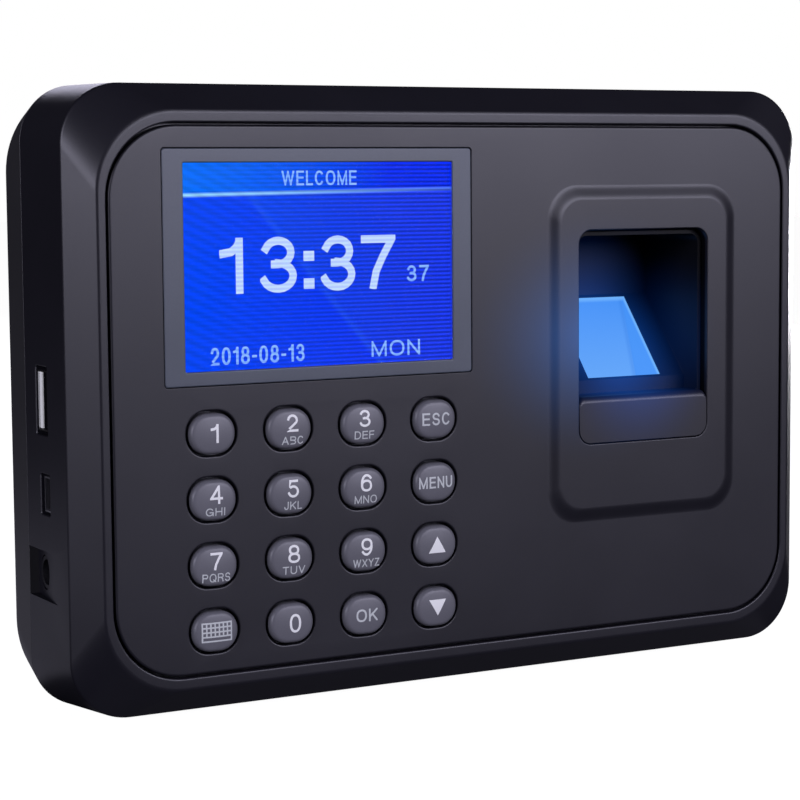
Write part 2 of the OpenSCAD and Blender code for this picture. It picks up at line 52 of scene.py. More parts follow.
# bevel of the case, the seat of the panel inside it and the wall behind
BEVEL, BEVEL_R, WALL, WALL_R, SEAM_CUT = 5.8, 17.8, 2.5, 11.5, 0.1
SEAT_X, SEAT_Z, SEAT_R, LEDGE_X, LEDGE_Z = 7.75, 8.4, 16.1, 11.5, 12.0
PANEL_W, PANEL_H, PANEL_R = 176.6, 118.3, 15.65
BOARD_POSTS = ((8, 48), (8, -48), (-81.5, 44), (-81.5, -44))
POST_D, SCREW_BORE_D = 5, 2
# in the back: recess of the wall plate, its hooks, the heads of the wall screws and the foot screw
RECESS_W, RECESS_H, RECESS_Z, WALL_SCREW_X, WALL_SCREW_Z, WALL_HEAD_D = 124, 104, -6.5, 45, 30, 10
HOOK_X, HOOK_ZS, HOOK_W, SLOT_DEPTH, FOOT_SCREW_Y = 50, (-18, 38), 10, 5.2, -8.5
SCREEN_AT = (-38.2, 28.8)
SURROUND_W, SURROUND_H, SURROUND_R, SURROUND_Y = 75.8, 50.7, 0.7, FACE_Y + 0.05
PICTURE_W, PICTURE_H, LINE_PITCH, RIPPLE_PITCH = 66.0, 44.6, 0.92, 2.1
WINDOW_W, WINDOW_H, GLASS_SHEET_W, GLASS_SHEET_H, LCD_Y = 71.2, 47.8, 70.6, 47.2, -43.3
KEYS_AT, PITCH_X, PITCH_Z = (-38.0, -28.35), 18.35, 14.34
KEY_W, KEY_H, KEY_R, CROWN_Y, CROWN_R = 10.6, 8.8, 4.2, -46.4, 26.0
HOLE_W, HOLE_H, HOLE_R, HOLE_EDGE = 11.8, 9.8, 4.7, 0.48
# travel of a key, and the metal dome under its stem with the gap between them
TRAVEL, DOME_H, DOME_GAP = 0.8, 0.5, 0.3
PAD_AT, PAD_W, PAD_H = (47.1, 5.7), 53.7, 79.9
GUIDE_AT, GUIDE_W, GUIDE_H, GUIDE_R = (46.9, 9.9), 36.8, 50.0, 3.2
GUIDE_SCREW_X, GUIDE_SCREW_Z = 21, 27.5
GLASS_AT, GLASS_LEAN, GLASS_L, GLASS_W = (46.9, -29.9, 8.8), math.radians(40.2), 23.8, 20.8
PORT_X, USB, MINI, JACK = -CASE_W / 2, (-25.0, 0.3), (-26.1, -20.0), (-20.8, -37.9)
# half the depth and half the height of each slot, the bore of the jack and half the height of its ramp
USB_HALF, MINI_HALF, SLOT_FLARE, JACK_D, RAMP_HALF = (3.4, 7.5), (2.8, 4.5), 1.2, 7.8, 5.4
FLOOR_Z, FLOOR_R = SEAM_Z - SEAM_H / 2 - 0.05, 6000
KEY_ROWS = (
    ("key_1", "key_2", "key_3", "key_esc"), ("key_4", "key_5", "key_6", "key_menu"),
    ("key_7", "key_8", "key_9", "key_up"), ("key_input", "key_0", "key_ok", "key_down"),
)


# ---- mesh code ----
def four(dx, dz, at=(0, 0)):
    """The corners of a rectangle round a point, as X and Z."""
    return [(at[0] + sx * dx, at[1] + sz * dz) for sx in (-1, 1) for sz in (-1, 1)]


def rounded(x0, x1, z0, z1, y, r_top, r_low=None, n=10, along=0):
    """Closed loop of a rounded rectangle at depth y, with the same point count for the same n and along."""
    r_low = r_top if r_low is None else r_low
    corners = (
        (x1 - r_top, z1 - r_top, r_top, 0), (x0 + r_top, z1 - r_top, r_top, 90),
        (x0 + r_low, z0 + r_low, r_low, 180), (x1 - r_low, z0 + r_low, r_low, 270),
    )
    arcs = []
    for cx, cz, r, start in corners:
        turns = [math.radians(start + 90 * k / n) for k in range(n + 1)]
        arcs.append([(cx + r * math.cos(a), y, cz + r * math.sin(a)) for a in turns])
    points = []
    for arc, after in zip(arcs, arcs[1:] + arcs[:1]):
        points += arc
        for k in range(1, along + 1):
            points.append(tuple(p + (q - p) * k / (along + 1) for p, q in zip(arc[-1], after[0])))
    return points


def centred(w, h, r, y, at=(0, 0), n=10, along=0):
    """Rounded rectangle w by h round a point."""
    return rounded(at[0] - w / 2, at[0] + w / 2, at[1] - h / 2, at[1] + h / 2, y, r, n=n, along=along)


def softened(points, steps=5):
    """Polyline whose last value at each point is the length cut off there, replaced by a small curve."""
    out = []
    for i, p in enumerate(points):
        cut = p[-1]
        here = Vector(p[:-1])
        if not cut or i in (0, len(points) - 1):
            out.append(tuple(here))
            continue
        before, after = Vector(points[i - 1][:-1]), Vector(points[i + 1][:-1])

        def toward(q):
            flat = math.hypot(q[0] - here[0], q[1] - here[1])
            return here + (q - here) * min(cut / flat, 0.49 if flat < 2 * cut else 1)

        a, b = toward(before), toward(after)
        for k in range(steps + 1):
            t = k / steps
            out.append(tuple(a * (1 - t) ** 2 + here * 2 * t * (1 - t) + b * t * t))
    return out


def encloses(ring, point):
    """True if the loop of points goes round a point in the X-Z plane."""
    inside = False
    for a, b in zip(ring, ring[1:] + ring[:1]):
        if (a[2] > point[1]) != (b[2] > point[1]):
            if point[0] < a[0] + (b[0] - a[0]) * (point[1] - a[2]) / (b[2] - a[2]):
                inside = not inside
    return inside


class Shape:
    """Vertices and faces of one piece."""

    def __init__(self):
        self.points, self.faces = [], []

    def loop(self, points):
        start = len(self.points)
        self.points += [tuple(p) for p in points]
        return list(range(start, start + len(points)))

    def strip(self, a, b):
        n = len(a)
        for i in range(n):
            self.faces.append((a[i], a[(i + 1) % n], b[(i + 1) % n], b[i]))

    def skin(self, loops, close=False):
        """Joins loops of points in order and returns the index loops."""
        made = [self.loop(p) for p in loops]
        for a, b in zip(made, made[1:] + (made[:1] if close else [])):
            self.strip(a, b)
        return made

    def cap(self, a):
        self.faces.append(tuple(a))

    def plate(self, outer, holes):
        """Fills the flat region between an outer index loop and holes in it."""
        ids = list(outer) + [i for h in holes for i in h]
        at = {i: k for k, i in enumerate(ids)}
        edges = []
        for ring in [outer, *holes]:
            edges += [(at[ring[i]], at[ring[(i + 1) % len(ring)]]) for i in range(len(ring))]
        flat = [Vector((self.points[i][0], self.points[i][2])) for i in ids]
        _, _, tris, origin, _, _ = delaunay_2d_cdt(flat, edges, [], 0, 1e-7)
        rings = [[self.points[i] for i in ring] for ring in [outer, *holes]]
        for t in tris:
            face = tuple(ids[origin[k][0]] for k in t)
            middle = [sum(self.points[i][a] for i in face) / 3 for a in (0, 2)]
            if sum(encloses(ring, middle) for ring in rings) % 2:
                self.faces.append(face)

    def mesh(self, name):
        data = bpy.data.meshes.new(name)
        data.from_pydata([tuple(c * MM for c in p) for p in self.points], [], self.faces)
        bm = bmesh.new()
        bm.from_mesh(data)
        bmesh.ops.remove_doubles(bm, verts=bm.verts, dist=1e-7)
        bmesh.ops.dissolve_degenerate(bm, edges=bm.edges, dist=1e-7)
        bmesh.ops.recalc_face_normals(bm, faces=bm.faces)
        bm.to_mesh(data)
        bm.free()
        return data


def link(name, data):
    obj = bpy.data.objects.new(name, data)
    bpy.context.scene.collection.objects.link(obj)
    return obj


def lofted(loops, name="cutter", close=False):
    """Closed solid through loops of points, capped at both ends unless it closes on itself."""
    s = Shape()
    made = s.skin(loops, close)
    if not close:
        s.cap(made[0])
        s.cap(made[-1])
    return link(name, s.mesh(name))


def circle(d, plane, n=32):
    """Loop of a circle: plane(u, v) gives the point."""
    return [plane(d / 2 * math.cos(2 * math.pi * k / n), d / 2 * math.sin(2 * math.pi * k / n))
            for k in range(n)]


def rod_y(x, z, d, y0, y1, n=32):
    return lofted([circle(d, lambda u, v, y=y: (x + u, y, z + v), n) for y in (y0, y1)])


def block(x0, x1, y0, y1, z0, z1):
    return lofted([[(x0, y, z0), (x1, y, z0), (x1, y, z1), (x0, y, z1)] for y in (y0, y1)])


def across(profile, x0, x1):
    """Y-Z profile carried along X."""
    return lofted([[(x, y, z) for y, z in profile] for x in (x0, x1)])


def carve(obj, tool, operation="DIFFERENCE"):
    """Applies a boolean with a tool object and removes the tool."""
    mod = obj.modifiers.new("cut", "BOOLEAN")
    mod.operation, mod.solver, mod.object = operation, "EXACT", tool
    graph = bpy.context.evaluated_depsgraph_get()
    data = bpy.data.meshes.new_from_object(obj.evaluated_get(graph))
    obj.modifiers.clear()
    old, obj.data = obj.data, data
    bpy.data.meshes.remove(old)
    bpy.data.objects.remove(tool)


def shade(obj, angle):
    """Smooth shading with edges sharper than an angle in degrees kept sharp."""
    obj.data.shade_smooth()
    obj.data.set_sharp_from_angle(angle=math.radians(angle))
    mod = obj.modifiers.new("normals", "WEIGHTED_NORMAL")
    mod.keep_sharp, mod.weight = True, 80


def piece(obj, material, body="terminal", stands_for=(), angle=32):
    """Finishes a piece: smooth shading, its material and its body, and hides the CAD nodes that it stands
    for.
    """
    shade(obj, angle)
    obj.data.materials.clear()
    obj.data.materials.append(material)
    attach(obj, body)
    if stands_for:
        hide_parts(*stands_for)
    return obj


# ---- materials ----
class Nodes:
    """Short way to write a node tree."""

    def __init__(self, name):
        self.mat = bpy.data.materials.new(name)
        self.mat.use_nodes = True
        self.tree = self.mat.node_tree
        self.shader = self.tree.nodes["Principled BSDF"]
        self.place = self.add("ShaderNodeTexCoord").outputs["Object"]

    def add(self, kind, **settings):
        node = self.tree.nodes.new(kind)
        for key, value in settings.items():
            setattr(node, key, value)
        return node

    def link(self, a, b):
        self.tree.links.new(a, b)

    def feed(self, name, value):
        """Gives an input of the shader a plain number or a node's output."""
        socket = self.shader.inputs[name]
        if isinstance(value, (int, float)):
            socket.default_value = value
        else:
            self.link(value, socket)

    def shine(self, colour, strength=1.0):
        self.feed("Emission Color", colour)
        self.feed("Emission Strength", strength)

    def noise(self, scale, detail=3, rough=0.55):
        node = self.add("ShaderNodeTexNoise")
        node.inputs["Scale"].default_value = scale
        node.inputs["Detail"].default_value = detail
        node.inputs["Roughness"].default_value = rough
        self.link(self.place, node.inputs["Vector"])
        return node.outputs["Fac"]

    def spread(self, value, low, high, start=0.3, end=0.7):
        """Takes a value from low at start to high at end."""
        node = self.add("ShaderNodeMapRange")
        for key, number in (("From Min", start), ("From Max", end), ("To Min", low), ("To Max", high)):
            node.inputs[key].default_value = number
        self.link(value, node.inputs["Value"])
        return node.outputs["Result"]

    def math(self, operation, a, b=None, clamp=False):
        node = self.add("ShaderNodeMath", operation=operation, use_clamp=clamp)
        for socket, value in zip(node.inputs, (a, b)):
            if value is None:
                continue
            if isinstance(value, (int, float)):
                socket.default_value = value
            else:
                self.link(value, socket)
        return node.outputs[0]

    def mix(self, factor, a, b):
        """Colour from a, where the factor is 0, to b, where it is 1."""
        node = self.add("ShaderNodeMix", data_type="RGBA")
        for key, value in ((0, factor), (6, a), (7, b)):
            if isinstance(value, (int, float)):
                node.inputs[key].default_value = value
            elif isinstance(value, tuple):
                node.inputs[key].default_value = (*value, 1)
            else:
                self.link(value, node.inputs[key])
        return node.outputs[2]

    def fraction(self, value, start, length):
        """How far a place in metres is along a stretch given in millimetres, from 0 to 1."""
        return self.math("DIVIDE", self.math("SUBTRACT", value, start * MM), length * MM)

    def ridge(self, value, steepness):
        """1 where a value is 0, falling to 0 on both sides of it."""
        return self.math("SUBTRACT", 1, self.math("MULTIPLY", self.math("ABSOLUTE", value), steepness), True)

    def waves(self, value, pitch):
        """Sine of a place in metres with a pitch in millimetres."""
        return self.math("SINE", self.math("MULTIPLY", value, 2 * math.pi / (pitch * MM)))

    def bump(self, height, strength, distance):
        node = self.add("ShaderNodeBump")
        node.inputs["Strength"].default_value = strength
        node.inputs["Distance"].default_value = distance
        self.link(height, node.inputs["Height"])
        self.link(node.outputs["Normal"], self.shader.inputs["Normal"])

    def axes(self):
        node = self.add("ShaderNodeSeparateXYZ")
        self.link(self.place, node.inputs[0])
        return node.outputs


def satin(name, colour, rough, grain=0.28, bump=0.05, metal=0.0, spread=0.10):
    """Moulded or coated surface: a fine grain, its size in millimetres, and cloudy colour and gloss."""
    n = Nodes(name)
    cloud = n.noise(38, 4)
    speck = n.noise(1000 / grain, 2, 0.6)
    shade_of = n.math("ADD", n.math("MULTIPLY", cloud, 0.6), n.math("MULTIPLY", speck, 0.4))
    low = tuple(c * (1 - spread) for c in colour)
    high = tuple(min(1, c * (1 + spread)) for c in colour)
    n.tint = n.mix(n.spread(shade_of, 0, 1, 0.35, 0.65), low, high)
    n.feed("Base Color", n.tint)
    n.feed("Roughness", n.spread(shade_of, rough * 0.93, rough * 1.07))
    n.feed("Metallic", metal)
    n.bump(speck, bump * 8, 0.00002)
    return n


def lit_from(n, spot, scale, reach, colour):
    """Paints the blue light that spills from the glass as a glow, fading with distance from a spot in
    millimetres.
    """
    move = n.add("ShaderNodeVectorMath", operation="SUBTRACT")
    n.link(n.place, move.inputs[0])
    move.inputs[1].default_value = [c * MM for c in spot]
    stretch = n.add("ShaderNodeVectorMath", operation="MULTIPLY")
    n.link(move.outputs[0], stretch.inputs[0])
    stretch.inputs[1].default_value = scale
    length = n.add("ShaderNodeVectorMath", operation="LENGTH")
    n.link(stretch.outputs[0], length.inputs[0])
    near = n.math("SUBTRACT", 1, n.math("DIVIDE", length.outputs["Value"], reach * MM), True)
    n.shine(n.mix(n.math("POWER", near, 2.2), (0.0, 0.0, 0.0), colour))


def painted_shade_inside(n, start, end, colour, specular):
    """Painted shade: darker and duller plastic behind the face, from one depth to another."""
    inside = n.spread(n.axes()[1], 0, 1, start * MM, end * MM)
    n.feed("Base Color", n.mix(inside, n.tint, colour))
    n.feed("Specular IOR Level", n.spread(inside, 0.5, specular, 0, 1))


CHARCOAL = (0.010, 0.0096, 0.0140)
CASE = satin("case_plastic", CHARCOAL, 0.40).mat
REAR = satin("rear_plastic", (0.030, 0.0295, 0.031), 0.42).mat
KEY = satin("key_plastic", (0.135, 0.135, 0.150), 0.42, 0.2).mat
INK = satin("legend_ink", (0.97, 0.99, 0.93), 0.5, 0.15, 0.03, spread=0.04).mat
WORD_INK = satin("word_ink", (0.62, 0.65, 0.63), 0.5, 0.15, 0.03, spread=0.04).mat
RUBBER = satin("keypad_rubber", (0.03, 0.03, 0.034), 0.7).mat
BLACK = satin("black_plastic", (0.012, 0.012, 0.014), 0.4).mat
STEEL = satin("dome_steel", (0.62, 0.62, 0.64), 0.28, 0.5, 0.02, 1.0).mat
ZINC = satin("screw_steel", (0.45, 0.45, 0.47), 0.34, 0.4, 0.03, 1.0).mat
CHROME = satin("connector_metal", (0.75, 0.75, 0.77), 0.18, 0.6, 0.01, 1.0, 0.05).mat
CELL = satin("cell_steel", (0.68, 0.68, 0.68), 0.24, 0.5, 0.02, 1.0).mat
TRAY = satin("tray_metal", (0.62, 0.63, 0.65), 0.3, 0.8, 0.02, 1.0).mat
PLATE = satin("plate_paint", (0.30, 0.30, 0.32), 0.45, 0.35, 0.06).mat
FILM = satin("ribbon_film", (0.50, 0.24, 0.05), 0.25, 0.6, 0.02).mat
MASK = satin("board_mask", (0.02, 0.13, 0.055), 0.3, 0.9, 0.04).mat

# white plastic, dark from a little way inside the side of the case, its front part with a weak painted glow
# so that it shows in the slot
n = satin("white_plastic", (0.90, 0.90, 0.88), 0.35, 0.3, 0.03)
behind = n.spread(n.axes()[0], 0, 1, (PORT_X + 0.75) * MM, (PORT_X + 0.85) * MM)
n.feed("Base Color", n.mix(behind, n.tint, (0.01, 0.01, 0.012)))
n.shine(n.mix(behind, (0.14, 0.14, 0.14), (0.0, 0.0, 0.0)))
WHITE = n.mat

n = satin("frame_plastic", (0.076, 0.090, 0.113), 0.40, 0.25)
# painted shade on the frame's edges behind the face
painted_shade_inside(n, FACE_Y + 0.3, FACE_Y + 0.5, (0.004, 0.006, 0.02), 0.05)
FRAME = n.mat

# the panel and the guide get a painted glow of the light of the glass, and painted shade behind the face
n = satin("panel_plastic", CHARCOAL, 0.40)
lit_from(n, (33.0, PAD_Y, 10.5), (1.0, 1.0, 1.2), 38.0, (0.012, 0.080, 0.30))
painted_shade_inside(n, FACE_Y + 0.04, FACE_Y + 0.3, (0.002, 0.002, 0.003), 0.10)
PANEL = n.mat
n = satin("guide_plastic", CHARCOAL, 0.42)
lit_from(n, (45.5, -32.0, 7.0), (1.0, 0.6, 0.85), 27.0, (0.003, 0.078, 0.46))
painted_shade_inside(n, PAD_Y + 1.0, PAD_Y + 2.2, (0.005, 0.0052, 0.006), 0.10)
GUIDE = n.mat


def front_housing():
    top, low = SEAM_Z + SEAM_H / 2, SEAM_Z - SEAM_H / 2
    above, below = CASE_H / 2 - top, low + CASE_H / 2
    # x inset, depth, top inset, bottom inset, corner radius, softening
    section = softened([
        (SEAM_CUT, SEAM_Y, above + SEAM_CUT, below + SEAM_CUT, SEAM_R, 0),
        (0, SEAM_Y - SEAM_CUT, above, below, SEAM_R, 0),
        (0, EDGE_Y, 0, 0, CORNER_R, 0.45),
        (BEVEL / 2, (EDGE_Y + FACE_Y) / 2, BEVEL / 2, BEVEL / 2, (CORNER_R + BEVEL_R) / 2, 0),
        (BEVEL, FACE_Y, BEVEL, BEVEL, BEVEL_R, 0.5),
        (SEAT_X, FACE_Y, SEAT_Z, SEAT_Z, SEAT_R, 0.35),
        (SEAT_X, PANEL_BACK, SEAT_Z, SEAT_Z, SEAT_R, 0),
        (LEDGE_X, PANEL_BACK, LEDGE_Z, LEDGE_Z, 12, 0),
        (LEDGE_X, PANEL_BACK + 2, LEDGE_Z, LEDGE_Z, 12, 0),
        (WALL, PANEL_BACK + 2, WALL, WALL, WALL_R, 0), (WALL, SEAM_Y, WALL, WALL, WALL_R, 0)], 6)
    loops = [rounded(-CASE_W / 2 + i, CASE_W / 2 - i, -CASE_H / 2 + z0, CASE_H / 2 - z1, y, r, n=20, along=8)
             for i, y, z1, z0, r in section]
    obj = lofted(loops, "front_shell", close=True)
    for x, z in four(SCREW_X, SCREW_Z):
        carve(obj, rod_y(x, z, BOSS_D, PANEL_BACK + 1, SEAM_Y), "UNION")
        carve(obj, rod_y(x, z, PILOT_D, SEAM_Y - 13, SEAM_Y + 1))
    backing = block(PORT_X + 1, PORT_X + 4.6, EDGE_Y + 5, SEAM_Y - 2.9, JACK[1] - 7.5, JACK[1] + 7.5)
    carve(obj, backing, "UNION")
    # sockets, each with a slightly flared mouth
    for (y, z), (half_y, half_z) in ((USB, USB_HALF), (MINI, MINI_HALF)):
        loops = []
        for x, grow in ((PORT_X - 1, SLOT_FLARE), (PORT_X + 0.2, 0), (PORT_X + 5, 0)):
            ring = centred(2 * (half_y + grow), 2 * (half_z + grow), 0.5 + grow, x, (0, z), 4)
            loops.append([(p[1], y + p[0], p[2]) for p in ring])
        carve(obj, lofted(loops))
    # the ramp that leads down to the power jack
    ramp = [(PORT_X - 1, EDGE_Y + 6.5), (PORT_X, EDGE_Y + 6.8), (PORT_X + 2.2, SEAM_Y - 1.4),
            (PORT_X + 2.2, SEAM_Y + 1), (PORT_X - 1, SEAM_Y + 1)]
    y, z = JACK
    carve(obj, lofted([[(x, ramp_y, end) for x, ramp_y in ramp] for end in (z - RAMP_HALF, z + RAMP_HALF)]))
    carve(obj, lofted([circle(JACK_D, lambda u, v, x=x: (x, y + u, z + v), 40)
                       for x in (PORT_X + 1, PORT_X + 6)]))
    return piece(obj, CASE, stands_for=["front_housing"])


def rear_housing():
    def back(inset, y, r):
        return centred(CASE_W - 2 * inset, SEAM_H - 2 * inset, r, y, (0, SEAM_Z), 20)

    # inside of the wall, and the lip that enters the front housing
    inner, lip = (184.4, 127.4, 9.7), (187.4, 130.4, 11.2)
    loops = [centred(*size, y, n=20) for size, y in (
        (inner, -4.2), (inner, SEAM_Y - 2.4), (lip, SEAM_Y - 2.4), (lip, SEAM_Y))]
    loops += [back(SEAM_CUT, SEAM_Y, SEAM_R), back(0, SEAM_Y + SEAM_CUT, SEAM_R)]
    for k in range(15):
        a = math.radians(90 * k / 14)
        inset, depth = BACK_ROUND * (1 - math.cos(a)), BACK_ROUND * (1 - math.sin(a))
        loops.append(back(inset, -depth, SEAM_R + (BACK_R - SEAM_R) * (1 + depth / SEAM_Y) - inset))
    obj = lofted(loops, "rear_shell")
    # room in the lip for the backing of the power jack
    carve(obj, block(PORT_X - 0.5, PORT_X + 8, SEAM_Y - 3, SEAM_Y, JACK[1] - 8, JACK[1] + 8))
    for x, z in four(SCREW_X, SCREW_Z):
        carve(obj, rod_y(x, z, REAR_BOSS_D, SEAM_Y, -3.2), "UNION")
        carve(obj, rod_y(x, z, SHAFT_D, SEAM_Y - 1, 1))
        carve(obj, rod_y(x, z, HEAD_D, -6, 1))
    carve(obj, lofted([centred(RECESS_W + 2 * g, RECESS_H + 2 * g, 2.5 + g, y, (0, RECESS_Z), 6)
                       for y, g in ((-1.7, 0), (-0.3, 0), (1, 1.3))]))
    # slots for the hooks and the foot of the plate, and room for the heads of the wall screws
    for sx in (-1, 1):
        for z in HOOK_ZS:
            hook = (sx * HOOK_X - HOOK_W / 2, sx * HOOK_X + HOOK_W / 2)
            carve(obj, block(*hook, -SLOT_DEPTH, 0, z - 4, z + 1.6))
        for sz in (-1, 1):
            place = (sx * WALL_SCREW_X, RECESS_Z + sz * WALL_SCREW_Z)
            carve(obj, rod_y(*place, WALL_HEAD_D, -SLOT_DEPTH, 0, 40))
    carve(obj, block(-8.5, 8.5, -SLOT_DEPTH, 0, -58.5, -54))
    # hole for the foot screw, its head below
    for d, top in ((SHAFT_D, -61), (6.2, -65.6)):
        carve(obj, lofted([circle(d, lambda u, v, z=z: (u, FOOT_SCREW_Y + v, z)) for z in (-71, top)]))
    return piece(obj, REAR, stands_for=["rear_housing"])


def key_at(col, row):
    return (KEYS_AT[0] + (col - 1.5) * PITCH_X, KEYS_AT[1] - (row - 1.5) * PITCH_Z)


def face_panel():
    s = Shape()
    outside = softened([(0, PANEL_BACK, 0), (0, FACE_Y, 0.8), (1.4, FACE_Y, 0)])[:-1]
    outer = s.skin([centred(PANEL_W - 2 * i, PANEL_H - 2 * i, PANEL_R - i, y, n=16) for i, y in outside])
    front_holes, back_holes = [], []

    def opening(w, h, r, at, y, edge, n):
        """Wall of a hole from the face at y to the panel's back, with a rounded front edge."""
        wall = softened([(edge * 2, y, 0), (0, y, edge), (0, PANEL_BACK, 0)], 4)[1:]
        made = s.skin([centred(w + 2 * i, h + 2 * i, r + i, d, at, n) for i, d in wall])
        back_holes.append(made[-1])
        return made[0]

    for row in range(4):
        for col in range(4):
            front_holes.append(opening(HOLE_W, HOLE_H, HOLE_R, key_at(col, row), FACE_Y, HOLE_EDGE, 10))
    # seat and window of the screen
    wall = softened([(0.5, FACE_Y, 0), (0, FACE_Y, 0.15), (0, LCD_Y, 0), (-2.3, LCD_Y, 0)], 4)[1:-1]
    gap = 0.12
    seat = s.skin([centred(SURROUND_W + 2 * (gap + i), SURROUND_H + 2 * (gap + i), SURROUND_R + gap + i,
                           y, SCREEN_AT, 6) for i, y in wall])
    window = s.skin([centred(WINDOW_W, WINDOW_H, 0.5, y, SCREEN_AT, 6) for y in (LCD_Y, PANEL_BACK)])
    s.strip(seat[-1], window[0])
    front_holes.append(seat[0])
    back_holes.append(window[-1])
    # raised pad with soft slopes, whose foot lies slightly outside the pad at its sides and inside it below
    steps, slope_width, wider, higher = 16, 3.6, 0.2, 0.5
    slope = []
    for k in range(steps + 1):
        t = k / steps
        rise = t * t * (3 - 2 * t)
        inset = slope_width * t
        slope.append(rounded(PAD_AT[0] - PAD_W / 2 - wider + inset, PAD_AT[0] + PAD_W / 2 + wider - inset,
                             PAD_AT[1] - PAD_H / 2 + higher + inset, PAD_AT[1] + PAD_H / 2 - inset,
                             FACE_Y + (PAD_Y - FACE_Y) * rise, 8 - 0.65 * inset, n=16))
    pad = s.skin(slope)
    front_holes.append(pad[0])
    mouth = opening(GUIDE_W + 0.16, GUIDE_H + 0.3, 3.4, GUIDE_AT, PAD_Y, 0.3, 10)
    s.plate(pad[-1], [mouth])
    s.plate(outer[-1], front_holes)
    # posts for the main board and pilot holes for the guide screws
    for x, z in BOARD_POSTS:
        ring = s.skin([circle(POST_D, lambda u, v, y=y: (x + u, y, z + v), 24)
                       for y in (PANEL_BACK, BOARD_Y)])
        bore = s.skin([circle(SCREW_BORE_D, lambda u, v, y=y: (x + u, y, z + v), 24)
                       for y in (BOARD_Y, BOARD_Y - 4)])
        s.strip(ring[-1], bore[0])
        s.cap(bore[-1])
        back_holes.append(ring[0])
    for x, z in four(GUIDE_SCREW_X, GUIDE_SCREW_Z, GUIDE_AT):
        bore = s.skin([circle(SCREW_BORE_D, lambda u, v, y=y: (x + u, y, z + v), 24)
                       for y in (PANEL_BACK, PANEL_BACK - 1.6)])
        s.cap(bore[-1])
        back_holes.append(bore[0])
    s.plate(outer[0], back_holes)
    return piece(link("face_plate", s.mesh("face_plate")), PANEL, stands_for=["face_panel"])


def dome_y(dx, dz):
    """Depth of the crown of a key at a distance from its middle."""
    return CROWN_Y + 0.04 + CROWN_R - math.sqrt(CROWN_R ** 2 - dx * dx - dz * dz)


def key_cap(name, col, row):
    cx, cz = key_at(col, row)
    s = Shape()
    back = PANEL_BACK + 1
    shoulder = PANEL_BACK + 0.2
    stem_end = BOARD_Y - DOME_H - DOME_GAP - TRAVEL
    loops = [centred(5, 5, 2.5, y, (cx, cz)) for y in (stem_end, back)]
    loops += [centred(KEY_W + 2.4, KEY_H + 2.2, 4.6, y, (cx, cz)) for y in (back, shoulder)]
    loops += [centred(KEY_W, KEY_H, KEY_R, shoulder, (cx, cz))]

    def on_dome(inset, drop):
        ring = centred(KEY_W - 2 * inset, KEY_H - 2 * inset, KEY_R - inset, 0, (cx, cz))
        return [(x, dome_y(x - cx, z - cz) + drop, z) for x, _, z in ring]

    edge = 0.85
    for k in range(7):
        a = math.radians(90 * k / 6)
        loops.append(on_dome(edge * (1 - math.cos(a)), edge * (1 - math.sin(a))))
    loops += [on_dome(inset, 0) for inset in (1.3, 2.0, 2.8, 3.6, 4.2)]
    made = s.skin(loops)
    s.cap(made[0])
    s.cap(made[-1])
    obj = link(name + "_cap", s.mesh(name + "_cap"))
    return piece(obj, KEY, body=name, stands_for=[name], angle=40)


def swing(cx, cz, rx, rz, start, end, n=14):
    """Points on an ellipse between two angles in degrees."""
    angles = [math.radians(start + (end - start) * k / n) for k in range(n + 1)]
    return [(cx + rx * math.cos(a), cz + rz * math.sin(a)) for a in angles]


def oval(cx, cz, rx, rz, n=28):
    """Closed, slightly squared ring; the first point is repeated at the end."""
    ring = []
    for k in range(n + 1):
        c, s = math.cos(2 * math.pi * k / n), math.sin(2 * math.pi * k / n)
        ring.append((cx + rx * math.copysign(abs(c) ** 0.88, c), cz + rz * math.copysign(abs(s) ** 0.88, s)))
    ring[-1] = ring[0]
    return ring


SIX = [oval(0.5, 0.32, 0.5, 0.32), swing(0.56, 0.46, 0.56, 0.54, 42, 190)]
BOWL = [(0, 1), (0.6, 1), *swing(0.6, 0.74, 0.4, 0.26, 75, -75), (0.6, 0.53), (0, 0.53)]
